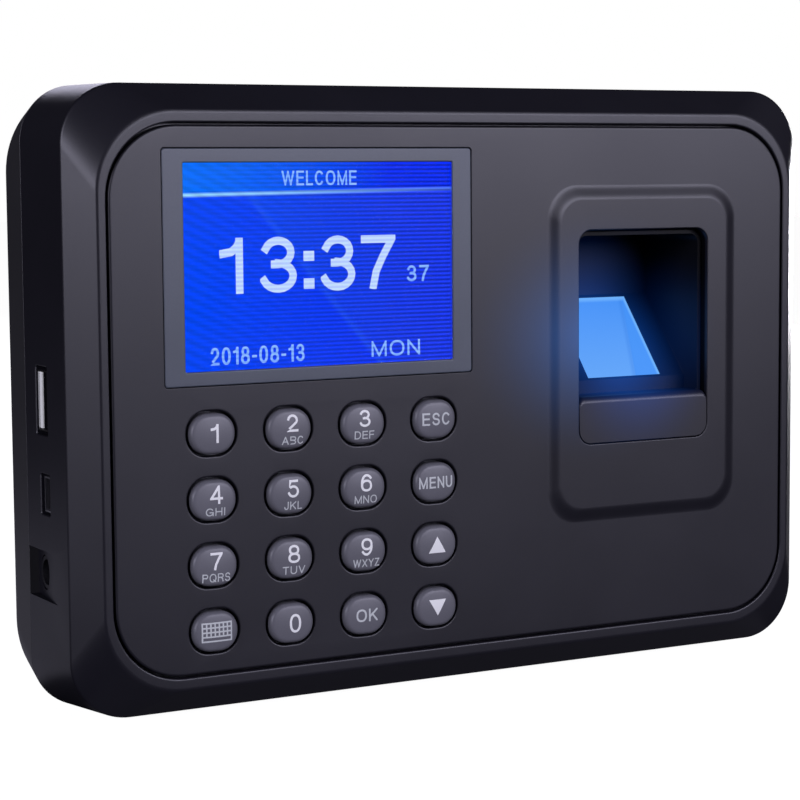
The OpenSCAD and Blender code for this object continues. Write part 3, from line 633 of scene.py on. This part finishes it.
# relative width and centre lines of each character, in a box from 0 to 1 both ways
GLYPHS = {
    "0": (0.74, [oval(0.5, 0.5, 0.5, 0.5)]),
    "1": (0.46, [[(1, 0), (1, 1)], [(0, 0.76), (0.5, 0.79), (0.82, 0.88), (1, 1)]]),
    "2": (0.74, [[*swing(0.5, 0.70, 0.46, 0.30, 168, -30), (0.5, 0.32), (0.12, 0.12), (0.0, 0.0), (1, 0)]]),
    "3": (0.74, [[*swing(0.48, 0.755, 0.43, 0.245, 160, -90), (0.36, 0.51)],
                 swing(0.48, 0.265, 0.5, 0.265, 90, -160)]),
    "4": (0.76, [[(0.74, 0), (0.74, 1), (0.0, 0.27), (1, 0.27)]]),
    "5": (0.74, [[(0.92, 1), (0.2, 1), (0.08, 0.47), *swing(0.48, 0.325, 0.5, 0.325, 135, -160)]]),
    "6": (0.74, SIX),
    "7": (0.74, [[(0, 1), (1, 1), (0.66, 0.62), (0.42, 0.3), (0.32, 0)]]),
    "8": (0.74, [oval(0.5, 0.755, 0.42, 0.245), oval(0.5, 0.255, 0.5, 0.255)]),
    "9": (0.74, [[(1 - u, 1 - v) for u, v in line] for line in SIX]),
    "-": (0.4, [[(0, 0.4), (1, 0.4)]]),
    "A": (0.95, [[(0, 0), (0.5, 1), (1, 0)], [(0.2, 0.33), (0.8, 0.33)]]),
    "B": (0.84, [[*BOWL, (0, 1), (0, 0), (0.6, 0), *swing(0.6, 0.24, 0.4, 0.24, -75, 75), (0.5, 0.53)]]),
    "C": (0.92, [swing(0.5, 0.5, 0.5, 0.5, 42, 318, 24)]),
    "D": (0.88, [[(0, 0), (0, 1), (0.45, 1), *swing(0.45, 0.5, 0.55, 0.5, 75, -75), (0.45, 0), (0, 0)]]),
    "E": (0.78, [[(1, 1), (0, 1), (0, 0), (1, 0)], [(0, 0.52), (0.92, 0.52)]]),
    "F": (0.74, [[(1, 1), (0, 1), (0, 0)], [(0, 0.5), (0.88, 0.5)]]),
    "G": (0.95, [swing(0.5, 0.5, 0.5, 0.5, 40, 335, 24), [(0.55, 0.44), (1, 0.44), (1, 0)]]),
    "H": (0.86, [[(0, 0), (0, 1)], [(1, 0), (1, 1)], [(0, 0.52), (1, 0.52)]]),
    "I": (0.16, [[(0.5, 0), (0.5, 1)]]),
    "J": (0.62, [[(1, 1), *swing(0.5, 0.29, 0.5, 0.29, 0, -180)]]),
    "K": (0.88, [[(0, 0), (0, 1)], [(1, 1), (0, 0.34)], [(0.34, 0.6), (1, 0)]]),
    "L": (0.70, [[(0, 1), (0, 0), (1, 0)]]),
    "M": (1.02, [[(0, 0), (0, 1), (0.5, 0), (1, 1), (1, 0)]]),
    "N": (0.86, [[(0, 0), (0, 1), (1, 0), (1, 1)]]),
    "O": (1.0, [oval(0.5, 0.5, 0.5, 0.5)]),
    "P": (0.80, [[(0, 0), *BOWL]]),
    "Q": (1.0, [oval(0.5, 0.5, 0.5, 0.5), [(0.62, 0.26), (0.98, 0.02)]]),
    "R": (0.86, [[(0, 0), *BOWL], [(0.55, 0.53), (0.92, 0.3), (1, 0)]]),
    "S": (0.82, [[*swing(0.5, 0.745, 0.45, 0.255, 15, 235), *swing(0.5, 0.255, 0.48, 0.255, 55, -165)]]),
    "T": (0.80, [[(0, 1), (1, 1)], [(0.5, 1), (0.5, 0)]]),
    "U": (0.86, [[(0, 1), *swing(0.5, 0.36, 0.5, 0.36, 180, 360), (1, 1)]]),
    "V": (0.90, [[(0, 1), (0.5, 0), (1, 1)]]),
    "W": (1.30, [[(0, 1), (0.25, 0), (0.5, 1), (0.75, 0), (1, 1)]]),
    "X": (0.88, [[(0, 1), (1, 0)], [(0, 0), (1, 1)]]),
    "Y": (0.90, [[(0, 1), (0.5, 0.46), (1, 1)], [(0.5, 0.46), (0.5, 0)]]),
    "Z": (0.82, [[(0, 1), (1, 1), (0, 0), (1, 0)]]),
}


def ribbon(line, t):
    """Quads of a line drawn with thickness t, mitred at its bends and square at open ends."""
    points = [Vector(p) for p in line]
    points = [p for i, p in enumerate(points) if i == 0 or (p - points[i - 1]).length > 1e-5]
    closed = (points[0] - points[-1]).length < 1e-5
    if closed:
        points.pop()
    else:
        points[0] += (points[0] - points[1]).normalized() * t / 2
        points[-1] += (points[-1] - points[-2]).normalized() * t / 2
    n = len(points)
    sides = []
    for i, p in enumerate(points):
        before = (p - points[i - 1]).normalized() if closed or i else None
        after = (points[(i + 1) % n] - p).normalized() if closed or i < n - 1 else None
        before, after = before or after, after or before
        across_it = Vector((-before.y - after.y, before.x + after.x)).normalized()
        reach = t / 2 / max(0.3, across_it.dot(Vector((-before.y, before.x))))
        sides.append((p + across_it * reach, p - across_it * reach))
    pairs = list(zip(sides, sides[1:] + sides[:1])) if closed else list(zip(sides, sides[1:]))
    return [(a[0], a[1], b[1], b[0]) for a, b in pairs]


def covers(quad, point):
    """True if a point lies in a convex quad or on its edge."""
    signs = [(b - a).cross(point - a) for a, b in zip(quad, quad[1:] + quad[:1])]
    return all(v >= 0 for v in signs) or all(v <= 0 for v in signs)


def merged(quads, box):
    """One flat mesh of overlapping quads, trimmed to a box, with corners on a grid of a micrometre."""
    x0, x1, z0, z1 = box
    frame_box = [Vector((x0, z0)), Vector((x1, z0)), Vector((x1, z1)), Vector((x0, z1))]
    corners = [Vector((round(p.x, 3), round(p.y, 3))) for q in (*quads, frame_box) for p in q]
    edges = [(4 * k + i, 4 * k + (i + 1) % 4) for k in range(len(quads) + 1) for i in range(4)]
    points, _, tris, _, _, _ = delaunay_2d_cdt(corners, edges, [], 0, 1e-5)
    kept = []
    for t in tris:
        middle = sum((points[i] for i in t), Vector((0, 0))) / 3
        if covers(frame_box, middle) and any(covers(q, middle) for q in quads):
            kept.append(tuple(t))
    return [tuple(p) for p in points], kept


def outline(text, cx, cz, w, h, t):
    """Flat meshes of a word drawn with strokes t thick, in a box w by h round (cx, cz)."""
    natural = sum(GLYPHS[c][0] for c in text)
    gap = 0.21
    scale = w / (natural + gap * (len(text) - 1)) if len(text) > 1 else 0
    parts, x = [], cx - w / 2
    for c in text:
        share, lines = GLYPHS[c]
        wide = w if len(text) == 1 else max(t, share * scale)
        box = (x, x + wide, cz - h / 2, cz + h / 2)
        place = [[(box[0] + t / 2 + u * (wide - t), box[2] + t / 2 + v * (h - t)) for u, v in line]
                 for line in lines]
        parts.append(merged([q for line in place for q in ribbon(line, t)], box))
        x += wide + gap * scale
    return parts


def printed(name, parts, depth, thick=0.03, longest=0.6):
    """Thin solid from flat outlines: its front lies at depth(x, z) - thick."""
    bm = bmesh.new()
    for points, faces in parts:
        made = [bm.verts.new((x, 0, z)) for x, z in points]
        for f in faces:
            bm.faces.new([made[i] for i in f])
    bmesh.ops.remove_doubles(bm, verts=bm.verts, dist=1e-4)
    bmesh.ops.triangulate(bm, faces=bm.faces)
    for _ in range(4):
        far = [e for e in bm.edges if e.calc_length() > longest]
        if not far:
            break
        bmesh.ops.subdivide_edges(bm, edges=far, cuts=1, use_grid_fill=False)
        bmesh.ops.triangulate(bm, faces=bm.faces)
    grown = bmesh.ops.extrude_face_region(bm, geom=bm.faces[:])
    behind = {v for v in grown["geom"] if isinstance(v, bmesh.types.BMVert)}
    for v in bm.verts:
        x, z = v.co.x, v.co.z
        v.co.y = depth(x, z) + (0.02 if v in behind else -thick)
        v.co *= MM
    bmesh.ops.recalc_face_normals(bm, faces=bm.faces)
    data = bpy.data.meshes.new(name)
    bm.to_mesh(data)
    bm.free()
    return link(name, data)


def bar(x0, x1, z0, z1):
    """Flat mesh of an upright rectangle."""
    return [(x0, z0), (x1, z0), (x1, z1), (x0, z1)], [(0, 1, 2, 3)]


# text, offset from the middle of the key, width, height and stroke
LEGENDS = {
    "key_1": [("1", 0.1, 0.1, 1.9, 4.1, 0.56)],
    "key_2": [("2", 0.4, 1.3, 2.8, 3.8, 0.53), ("ABC", 0.5, -2.5, 5.3, 1.8, 0.24)],
    "key_3": [("3", 0.0, 1.3, 2.8, 3.8, 0.53), ("DEF", -0.1, -2.4, 4.9, 1.8, 0.24)],
    "key_esc": [("ESC", 0, 0.1, 7.2, 2.85, 0.42)],
    "key_4": [("4", 0.3, 1.2, 3.05, 4.0, 0.53), ("GHI", 0.1, -2.5, 4.6, 1.75, 0.24)],
    "key_5": [("5", 0.4, 1.2, 2.8, 3.9, 0.53), ("JKL", 0.4, -2.5, 4.4, 1.8, 0.24)],
    "key_6": [("6", 0.2, 1.2, 2.8, 3.9, 0.53), ("MNO", 0.1, -2.5, 5.6, 1.8, 0.24)],
    "key_menu": [("MENU", -0.2, 0, 8.6, 2.65, 0.4)],
    "key_7": [("7", 0.15, 1.1, 2.9, 3.8, 0.53), ("PQRS", 0.1, -2.5, 6.6, 1.9, 0.24)],
    "key_8": [("8", 0.4, 1.1, 2.9, 4.0, 0.53), ("TUV", 0.4, -2.5, 5.5, 1.8, 0.24)],
    "key_9": [("9", 0.2, 1.1, 2.8, 3.9, 0.53), ("WXYZ", 0.1, -2.5, 6.6, 1.8, 0.24)],
    "key_up": "up",
    "key_input": "board",
    "key_0": [("0", 0.5, 0, 2.8, 4.15, 0.54)],
    "key_ok": [("OK", 0.1, 0, 5.4, 2.85, 0.42)],
    "key_down": "down",
}


def legend(name, col, row):
    cx, cz = key_at(col, row)

    def inked(end, parts, material):
        obj = printed(name + end, parts, lambda x, z: dome_y(x - cx, z - cz))
        piece(obj, material, body=name, angle=60)

    marks = LEGENDS[name]
    if marks in ("up", "down"):
        s = 1 if marks == "up" else -1
        tip = [(cx - 2.2, cz - s * 1.8), (cx + 2.2, cz - s * 1.8), (cx, cz + s * 1.9)]
        inked("_legend", [(tip, [(0, 1, 2)])], INK)
    elif marks == "board":
        # light grid lines with rows of dark keys between them, and a space bar in the lowest row
        x0, x1, z0, z1, t = cx - 3.6, cx + 3.6, cz - 2.15, cz + 2.15, 0.34
        rows = [z1 - t / 2 - k * (z1 - z0 - t) / 4 for k in range(5)]
        lines = [[(x0, z), (x1, z)] for z in rows]
        for k in range(8):
            x = x0 + t / 2 + k * (x1 - x0 - t) / 7
            lines.append([(x, rows[3 if 0 < k < 7 else 4]), (x, rows[0])])
        inked("_legend", [merged([q for line in lines for q in ribbon(line, t)], (x0, x1, z0, z1))], WORD_INK)
    else:
        for end, (text, dx, dz, w, h, t) in zip(("_legend", "_letters"), marks):
            inked(end, outline(text, cx + dx, cz + dz, w, h, t), WORD_INK if len(text) > 1 else INK)


def screen():
    """Frame, picture, lens and what the picture shows."""
    loops = [centred(SURROUND_W, SURROUND_H, SURROUND_R, LCD_Y, SCREEN_AT, 6)]
    for inset, y in softened([(0, LCD_Y, 0), (0, SURROUND_Y, 0.3), (2, SURROUND_Y, 0)], 4)[1:-1]:
        loops.append(centred(SURROUND_W - 2 * inset, SURROUND_H - 2 * inset, SURROUND_R, y, SCREEN_AT, 6))
    for grow, y in softened([(1, SURROUND_Y, 0), (0, SURROUND_Y, 0.3), (0, LCD_Y, 0)], 4)[1:]:
        loops.append(centred(PICTURE_W + 2 * grow, PICTURE_H + 2 * grow, 0.3 + grow, y, SCREEN_AT, 6))
    obj = lofted(loops, "screen_surround", close=True)
    piece(obj, FRAME, stands_for=["screen_frame"])

    n = Nodes("screen_picture")
    x, _, z = n.axes()
    # places in the picture: u from the left to the right, v from the top down
    u = n.fraction(x, SCREEN_AT[0] - PICTURE_W / 2, PICTURE_W)
    v = n.fraction(z, SCREEN_AT[1] + PICTURE_H / 2, -PICTURE_H)
    # blue field, lighter to the left of a soft sweep from the header to the lower right
    to_left = n.math("POWER", n.math("SUBTRACT", 1, u, True), 1.6)
    field = n.mix(to_left, (0.012, 0.040, 0.78), (0.0, 0.086, 0.96))
    off = n.math("SUBTRACT", n.math("SUBTRACT", u, n.math("MULTIPLY", v, 0.58)), 0.15)
    field = n.mix(n.spread(off, 0.35, 0, -0.02, 0.02), field, (0.0, 0.024, 0.98))
    field = n.mix(n.math("MULTIPLY", n.ridge(off, 45), 0.15), field, (0.05, 0.22, 0.95))
    # header band and the bright line below it
    edge = n.math("ADD", 0.155, n.math("MULTIPLY", u, -0.02))
    head = n.math("LESS_THAN", v, edge)
    fade = n.math("SUBTRACT", 1, n.math("MULTIPLY", u, 1.3), True)
    field = n.mix(head, field, n.mix(fade, (0.003, 0.026, 0.84), (0.0, 0.17, 0.99)))
    line = n.ridge(n.math("SUBTRACT", v, edge), 75)
    weaker = n.math("SUBTRACT", 1, n.math("MULTIPLY", u, 0.78), True)
    field = n.mix(n.math("MULTIPLY", line, weaker), field, (0.38, 0.80, 1.0))
    # line pattern, stronger to the right, and slanted ripples to the left
    depth = n.math("ADD", 0.04, n.math("MULTIPLY", u, 0.34))
    slant = n.math("ADD", n.math("MULTIPLY", x, 0.42), n.math("MULTIPLY", z, 0.91))
    shallow = n.math("MULTIPLY", n.math("SUBTRACT", 1, n.math("MULTIPLY", u, 1.8), True), 0.10)
    dim = n.math("ADD", 0.93, n.math("MULTIPLY", n.waves(z, LINE_PITCH), depth))
    dim = n.math("ADD", dim, n.math("MULTIPLY", n.waves(slant, RIPPLE_PITCH), shallow))
    lit = n.add("ShaderNodeVectorMath", operation="SCALE")
    n.link(field, lit.inputs[0])
    n.link(dim, lit.inputs["Scale"])
    n.shine(lit.outputs[0])
    swirl = n.noise(60, 2, 0.5)
    n.feed("Base Color", n.mix(swirl, (0.0, 0.004, 0.02), (0.0, 0.008, 0.04)))
    n.feed("Roughness", n.spread(swirl, 0.22, 0.3))
    n.feed("Specular IOR Level", 0.04)
    n.bump(n.noise(3000, 1), 0.1, 0.00001)
    obj = lofted([centred(GLASS_SHEET_W, GLASS_SHEET_H, 0.4, y, SCREEN_AT, 4)
                  for y in (LCD_Y, LCD_Y + 2)], "lcd_glass")
    piece(obj, n.mat, stands_for=["lcd_panel"])

    n = Nodes("screen_clear")
    n.feed("Transmission Weight", 1.0)
    n.feed("IOR", 1.3)
    n.feed("Specular IOR Level", 0.06)
    haze = n.noise(200, 3)
    n.feed("Roughness", n.spread(haze, 0.02, 0.06))
    n.feed("Base Color", n.mix(haze, (0.93, 0.95, 1.0), (0.98, 0.99, 1.0)))
    n.bump(haze, 0.02, 0.00001)
    loops = [centred(PICTURE_W - 0.1, PICTURE_H - 0.1, 0.25, y, SCREEN_AT, 4)
             for y in (LCD_Y - 0.1, LCD_Y - 1.3)]
    piece(lofted(loops, "lens"), n.mat, stands_for=["screen_lens"])

    def ink(name, low, high):
        """Lit characters with the same line pattern as the picture."""
        n = Nodes(name)
        n.shine(n.mix(n.spread(n.waves(n.axes()[2], LINE_PITCH), 0, 1, -1, 1), low, high))
        n.feed("Specular IOR Level", 0.1)
        cloud = n.noise(300, 2)
        n.feed("Base Color", n.mix(cloud, (0.05, 0.06, 0.08), (0.07, 0.08, 0.1)))
        n.feed("Roughness", n.spread(cloud, 0.35, 0.45))
        n.bump(n.noise(2500, 1), 0.1, 0.00001)
        return n.mat

    bright = ink("picture_digits", (0.42, 0.57, 0.93), (0.60, 0.76, 1.0))
    faint = ink("picture_text", (0.15, 0.33, 0.90), (0.29, 0.53, 1.0))

    def shown(name, parts, mat=faint):
        obj = printed(name, parts, lambda x, z: LCD_Y - 0.01, 0.04, 50)
        piece(obj, mat, angle=60)

    # text, middle in X and Z, width, height and stroke
    digits = (("1", -59.7, 28.95, 5.6, 12.1, 1.75), ("3", -48.35, 28.95, 9.0, 12.2, 1.75),
              ("3", -33.75, 28.95, 8.7, 12.2, 1.75), ("7", -23.7, 28.95, 8.7, 12.0, 1.75))
    colon = [bar(-42.3, -39.7, 29.6, 31.8), bar(-42.3, -39.7, 23.5, 25.8)]
    shown("clock_digits", [part for digit in digits for part in outline(*digit)] + colon, bright)
    words = (("clock_seconds", "37", -13.6, 26.2, 5.7, 3.6, 0.55),
             ("date_text", "2018-08-13", -53.6, 9.6, 22.6, 3.8, 0.55),
             ("day_text", "MON", -19.4, 9.6, 12.4, 3.5, 0.50),
             ("header_text", "WELCOME", -38.2, 47.7, 18.4, 3.2, 0.45))
    for name, *word in words:
        shown(name, outline(*word))


def guide_well():
    """Finger guide: flush lip below, its other edges set back in the panel."""
    sin, cos = math.sin(GLASS_LEAN), math.cos(GLASS_LEAN)
    gy, gz, half = GLASS_AT[1], GLASS_AT[2], GLASS_L / 2 + 0.8
    low, top = (gy - half * sin, gz - half * cos), (gy + half * sin, gz + half * cos)
    x, z = GUIDE_AT
    lip_z, lip_r, lip_edge, set_back = -4.0, 1.6, 0.16, 2.4
    z0, z1 = z - GUIDE_H / 2, z + GUIDE_H / 2
    x0, x1 = x - GUIDE_W / 2, x + GUIDE_W / 2
    front = PAD_Y + set_back
    obj = lofted([rounded(x0 + i, x1 - i, z0 + i, z1 - i, y, GUIDE_R - i, n=10)
                  for i, y in ((0.3, front), (0, front + 0.3), (0, top[0] + 1.6))], "guide")
    carve(obj, lofted([centred(GUIDE_W + 11, GUIDE_H + 10.5, 4, y, GUIDE_AT)
                       for y in (PANEL_BACK, PANEL_BACK + 1.5)]), "UNION")
    # lip, its upper edge a quarter round
    loops = []
    for k in range(9):
        a = math.radians(90 * k / 8)
        inset = lip_edge * (1 - math.sin(min(a * 2, math.pi / 2)))
        depth = lip_r * (1 - math.cos(a))
        loops.append(rounded(x0 + inset, x1 - inset, z0 + inset, lip_z - lip_r * (1 - math.sin(a)),
                             PAD_Y + depth, 1.5, GUIDE_R - inset))
    loops.append(rounded(x0, x1, z0, lip_z, front + 1.5, 1.5, GUIDE_R))
    carve(obj, lofted(loops), "UNION")
    # the well
    inner = GUIDE_W / 2 - 1.2
    ceiling = z1 - 1.2
    path = [(front - 1, lip_z), (low[0], lip_z), (low[0] + 0.01, low[1])]
    path += [(low[0] + (top[0] - low[0]) * t, low[1] + (top[1] - low[1]) * t) for t in (0.5, 1.0)]
    carve(obj, lofted([rounded(x - inner, x + inner, b, ceiling, y, 2.2, 0.6) for y, b in path]))
    # hollow behind the lip and below the slope, and the side walls end behind it
    carve(obj, across([(PAD_Y + 2.4, -13.6), (PAD_Y + 2.4, -7.6), (low[0] + 1.5, -6.2),
                       (low[0] + 1.5, low[1] - 1.3), (top[0] + 1.5, top[1] - 1.3),
                       (top[0] + 4, top[1] - 1.3), (top[0] + 4, -13.6)], x - inner, x + inner))
    carve(obj, across([(PANEL_BACK + 1.5, -20), (PANEL_BACK + 1.5, low[1] - 6), (top[0] + 0.5, top[1] - 9),
                       (top[0] + 4, top[1] - 6), (top[0] + 4, -20)], x - GUIDE_W, x + GUIDE_W))
    half_w, half_l = GLASS_W / 2 + 0.15, GLASS_L / 2 + 0.15
    window = block(-half_w, half_w, -2, 6, -half_l, half_l)
    turn = Matrix.Translation(Vector(GLASS_AT) * MM) @ Matrix.Rotation(-GLASS_LEAN, 4, "X")
    window.data.transform(turn)
    carve(obj, window)
    for screw_x, screw_z in four(GUIDE_SCREW_X, GUIDE_SCREW_Z, GUIDE_AT):
        carve(obj, rod_y(screw_x, screw_z, 2.2, PANEL_BACK - 1, PANEL_BACK + 3))
    return piece(obj, GUIDE, stands_for=["finger_guide"])


front_housing()
rear_housing()
face_panel()
for row, names in enumerate(KEY_ROWS):
    for col, name in enumerate(names):
        key_cap(name, col, row)
        legend(name, col, row)
screen()
guide_well()

# ---- glass with a painted glow, and lamps ----
n = Nodes("prism_glass")
x, _, z = n.axes()
# places on the glass: u from the left to the right, v from the bottom up
u = n.fraction(x, GLASS_AT[0] - GLASS_W / 2, GLASS_W)
rise = GLASS_L * math.cos(GLASS_LEAN)
v = n.fraction(z, GLASS_AT[2] - rise / 2, rise)
# painted glow of the glass, standing in for the light of the lamps behind it
face = n.mix(v, (0.125, 0.375, 0.92), (0.062, 0.285, 0.92))
# a facet to the right of a slanting line, and a lighter painted rim along the top and the right edge
off = n.math("SUBTRACT", u, n.math("ADD", 0.66, n.math("MULTIPLY", v, 0.3)))
face = n.mix(n.spread(off, 0, 0.8, -0.01, 0.01), face, (0.056, 0.285, 0.92))
rule = n.ridge(n.math("ADD", off, 0.02), 22)
face = n.mix(n.math("MULTIPLY", rule, 0.35), face, (0.03, 0.20, 0.75))
rim = n.math("MAXIMUM", n.spread(u, 0, 1, 0.955, 0.98), n.spread(v, 0, 1, 0.93, 0.97))
n.shine(n.mix(n.math("MULTIPLY", rim, 0.55), face, (0.22, 0.55, 1.0)))
n.feed("Specular IOR Level", 0.15)
haze = n.noise(150, 3)
n.feed("Base Color", n.mix(haze, (0.01, 0.02, 0.05), (0.02, 0.03, 0.06)))
n.feed("Roughness", n.spread(haze, 0.05, 0.12))
n.bump(haze, 0.02, 0.00001)
PRISM = n.mat

n = Nodes("blue_lamp")
cloud = n.noise(400, 2)
n.shine(n.mix(cloud, (0.2, 0.5, 1.0), (0.3, 0.6, 1.0)), 2.0)
n.feed("Base Color", n.mix(cloud, (0.5, 0.6, 0.8), (0.6, 0.7, 0.9)))
LAMP = n.mat

# ---- CAD nodes that stay, each with its finish and small edge rounding ----
# material and edge rounding in millimetres
KEPT = {
    "rear_screws": (ZINC, 0.15), "board_screws": (ZINC, 0.1), "guide_screws": (ZINC, 0.1),
    "foot_screw": (ZINC, 0.15), "mini_usb_shell": (ZINC, 0.08),
    "usb_shell": (CHROME, 0.08), "dc_pin": (CHROME, 0.2), "usb_tongue": (WHITE, 0.1),
    "lcd_tray": (TRAY, 0.2), "key_domes": (STEEL, 0.1), "coin_cell": (CELL, 0.15), "wall_plate": (PLATE, 0.2),
    "main_board": (MASK, 0.1), "io_board": (MASK, 0.1),
    "light_board": (MASK, 0.08), "camera_board": (MASK, 0.08),
    "board_chips": (BLACK, 0.1), "buzzer": (BLACK, 0.2), "cell_holder": (BLACK, 0.2),
    "dc_jack": (BLACK, 0.15), "mini_usb_tongue": (BLACK, 0.08), "sensor_housing": (BLACK, 0.2),
    "camera_lens": (BLACK, 0.1),
    "glass_prism": (PRISM, 0.15), "sensor_lights": (LAMP, 0.1), "keypad_mat": (RUBBER, 0.2),
    "lcd_ribbon": (FILM, 0), "sensor_ribbon": (FILM, 0),
}
for name, (material, edge) in KEPT.items():
    node = NODES[name]
    node.data.materials.clear()
    node.data.materials.append(material)
    if edge:
        mod = node.modifiers.new("edges", "BEVEL")
        mod.width, mod.segments, mod.limit_method, mod.angle_limit = edge * MM, 2, "ANGLE", math.radians(40)

# ---- floor, light and camera ----
# floor and surroundings are pale where the camera sees them, and dim in reflections
n = Nodes("floor")
n.feed("Roughness", 0.9)
seen = n.add("ShaderNodeLightPath").outputs["Is Camera Ray"]
tone = n.mix(n.noise(3, 2), (0.24, 0.24, 0.24), (0.26, 0.26, 0.26))
n.feed("Base Color", n.mix(seen, (0.03, 0.03, 0.03), tone))
n.feed("Specular IOR Level", 0.0)
n.shine(n.mix(seen, (0.0, 0.0, 0.0), (0.97, 0.97, 0.97)))
s = Shape()
s.cap(s.loop(circle(2 * FLOOR_R, lambda u, v: (u, v, FLOOR_Z), 60)))
floor = link("floor", s.mesh("floor"))
floor.data.materials.append(n.mat)

world = bpy.data.worlds.new("studio")
bpy.context.scene.world = world
world.use_nodes = True
tree = world.node_tree
seen = tree.nodes.new("ShaderNodeLightPath").outputs["Is Camera Ray"]
mix = tree.nodes.new("ShaderNodeMix")
mix.data_type = "RGBA"
mix.inputs[6].default_value = (0.021, 0.020, 0.027, 1)
mix.inputs[7].default_value = (1.0, 1.0, 1.0, 1)
tree.links.new(seen, mix.inputs[0])
tree.links.new(mix.outputs[2], tree.nodes["Background"].inputs["Color"])


def softbox(name, at, aim, size, power, colour):
    lamp = bpy.data.lights.new(name, "AREA")
    lamp.shape, lamp.size, lamp.size_y = "RECTANGLE", size[0], size[1]
    lamp.energy, lamp.color = power, colour
    obj = link(name, lamp)
    obj.location = at
    obj.rotation_mode = "QUATERNION"
    obj.rotation_quaternion = (Vector(aim) - Vector(at)).to_track_quat("-Z", "Y")
    obj.visible_camera = False


COOL, SILVER = (0.80, 0.78, 0.98), (0.90, 0.89, 0.95)
# name, place and aim in metres, width and height, watts and colour
softbox("front", (0.55, -1.15, 0.285), (0, 0, 0), (1.0, 0.3), 11, COOL)
softbox("high", (0.60, -0.93, 0.66), (0, 0, 0), (0.5, 0.3), 1.0, COOL)
softbox("left", (-1.15, -0.52, 0.29), (0, 0, 0), (0.35, 0.38), 7.4, COOL)
softbox("back_right", (0.95, 0.80, 0.08), (0, 0, 0), (0.4, 0.25), 23, SILVER)
softbox("rim", (0.28, 1.08, 0.42), (0, 0, 0.05), (0.35, 0.2), 1.3, COOL)
# two weak ones on the floor, facing up
softbox("low_left", (-0.20, 0.12, -0.069), (-0.20, 0.1201, 1), (0.25, 0.25), 0.05, COOL)
softbox("low_front", (0.0, -0.060, -0.0697), (0.0, -0.0599, 1), (0.19, 0.06), 0.0018, COOL)

camera = bpy.data.cameras.new("camera")
camera.sensor_width, camera.lens = 36, 103.09
camera.clip_start, camera.clip_end = 0.01, 50
eye = link("camera", camera)
eye.location = (-0.26758, -0.49233, 0.04777)
# degrees up from straight down, of roll, and of heading to the left
eye.rotation_euler = [math.radians(a) for a in (84.4367, 0.4304, -29.0833)]
bpy.context.scene.camera = eye
bpy.context.scene.view_settings.view_transform = "Standard"
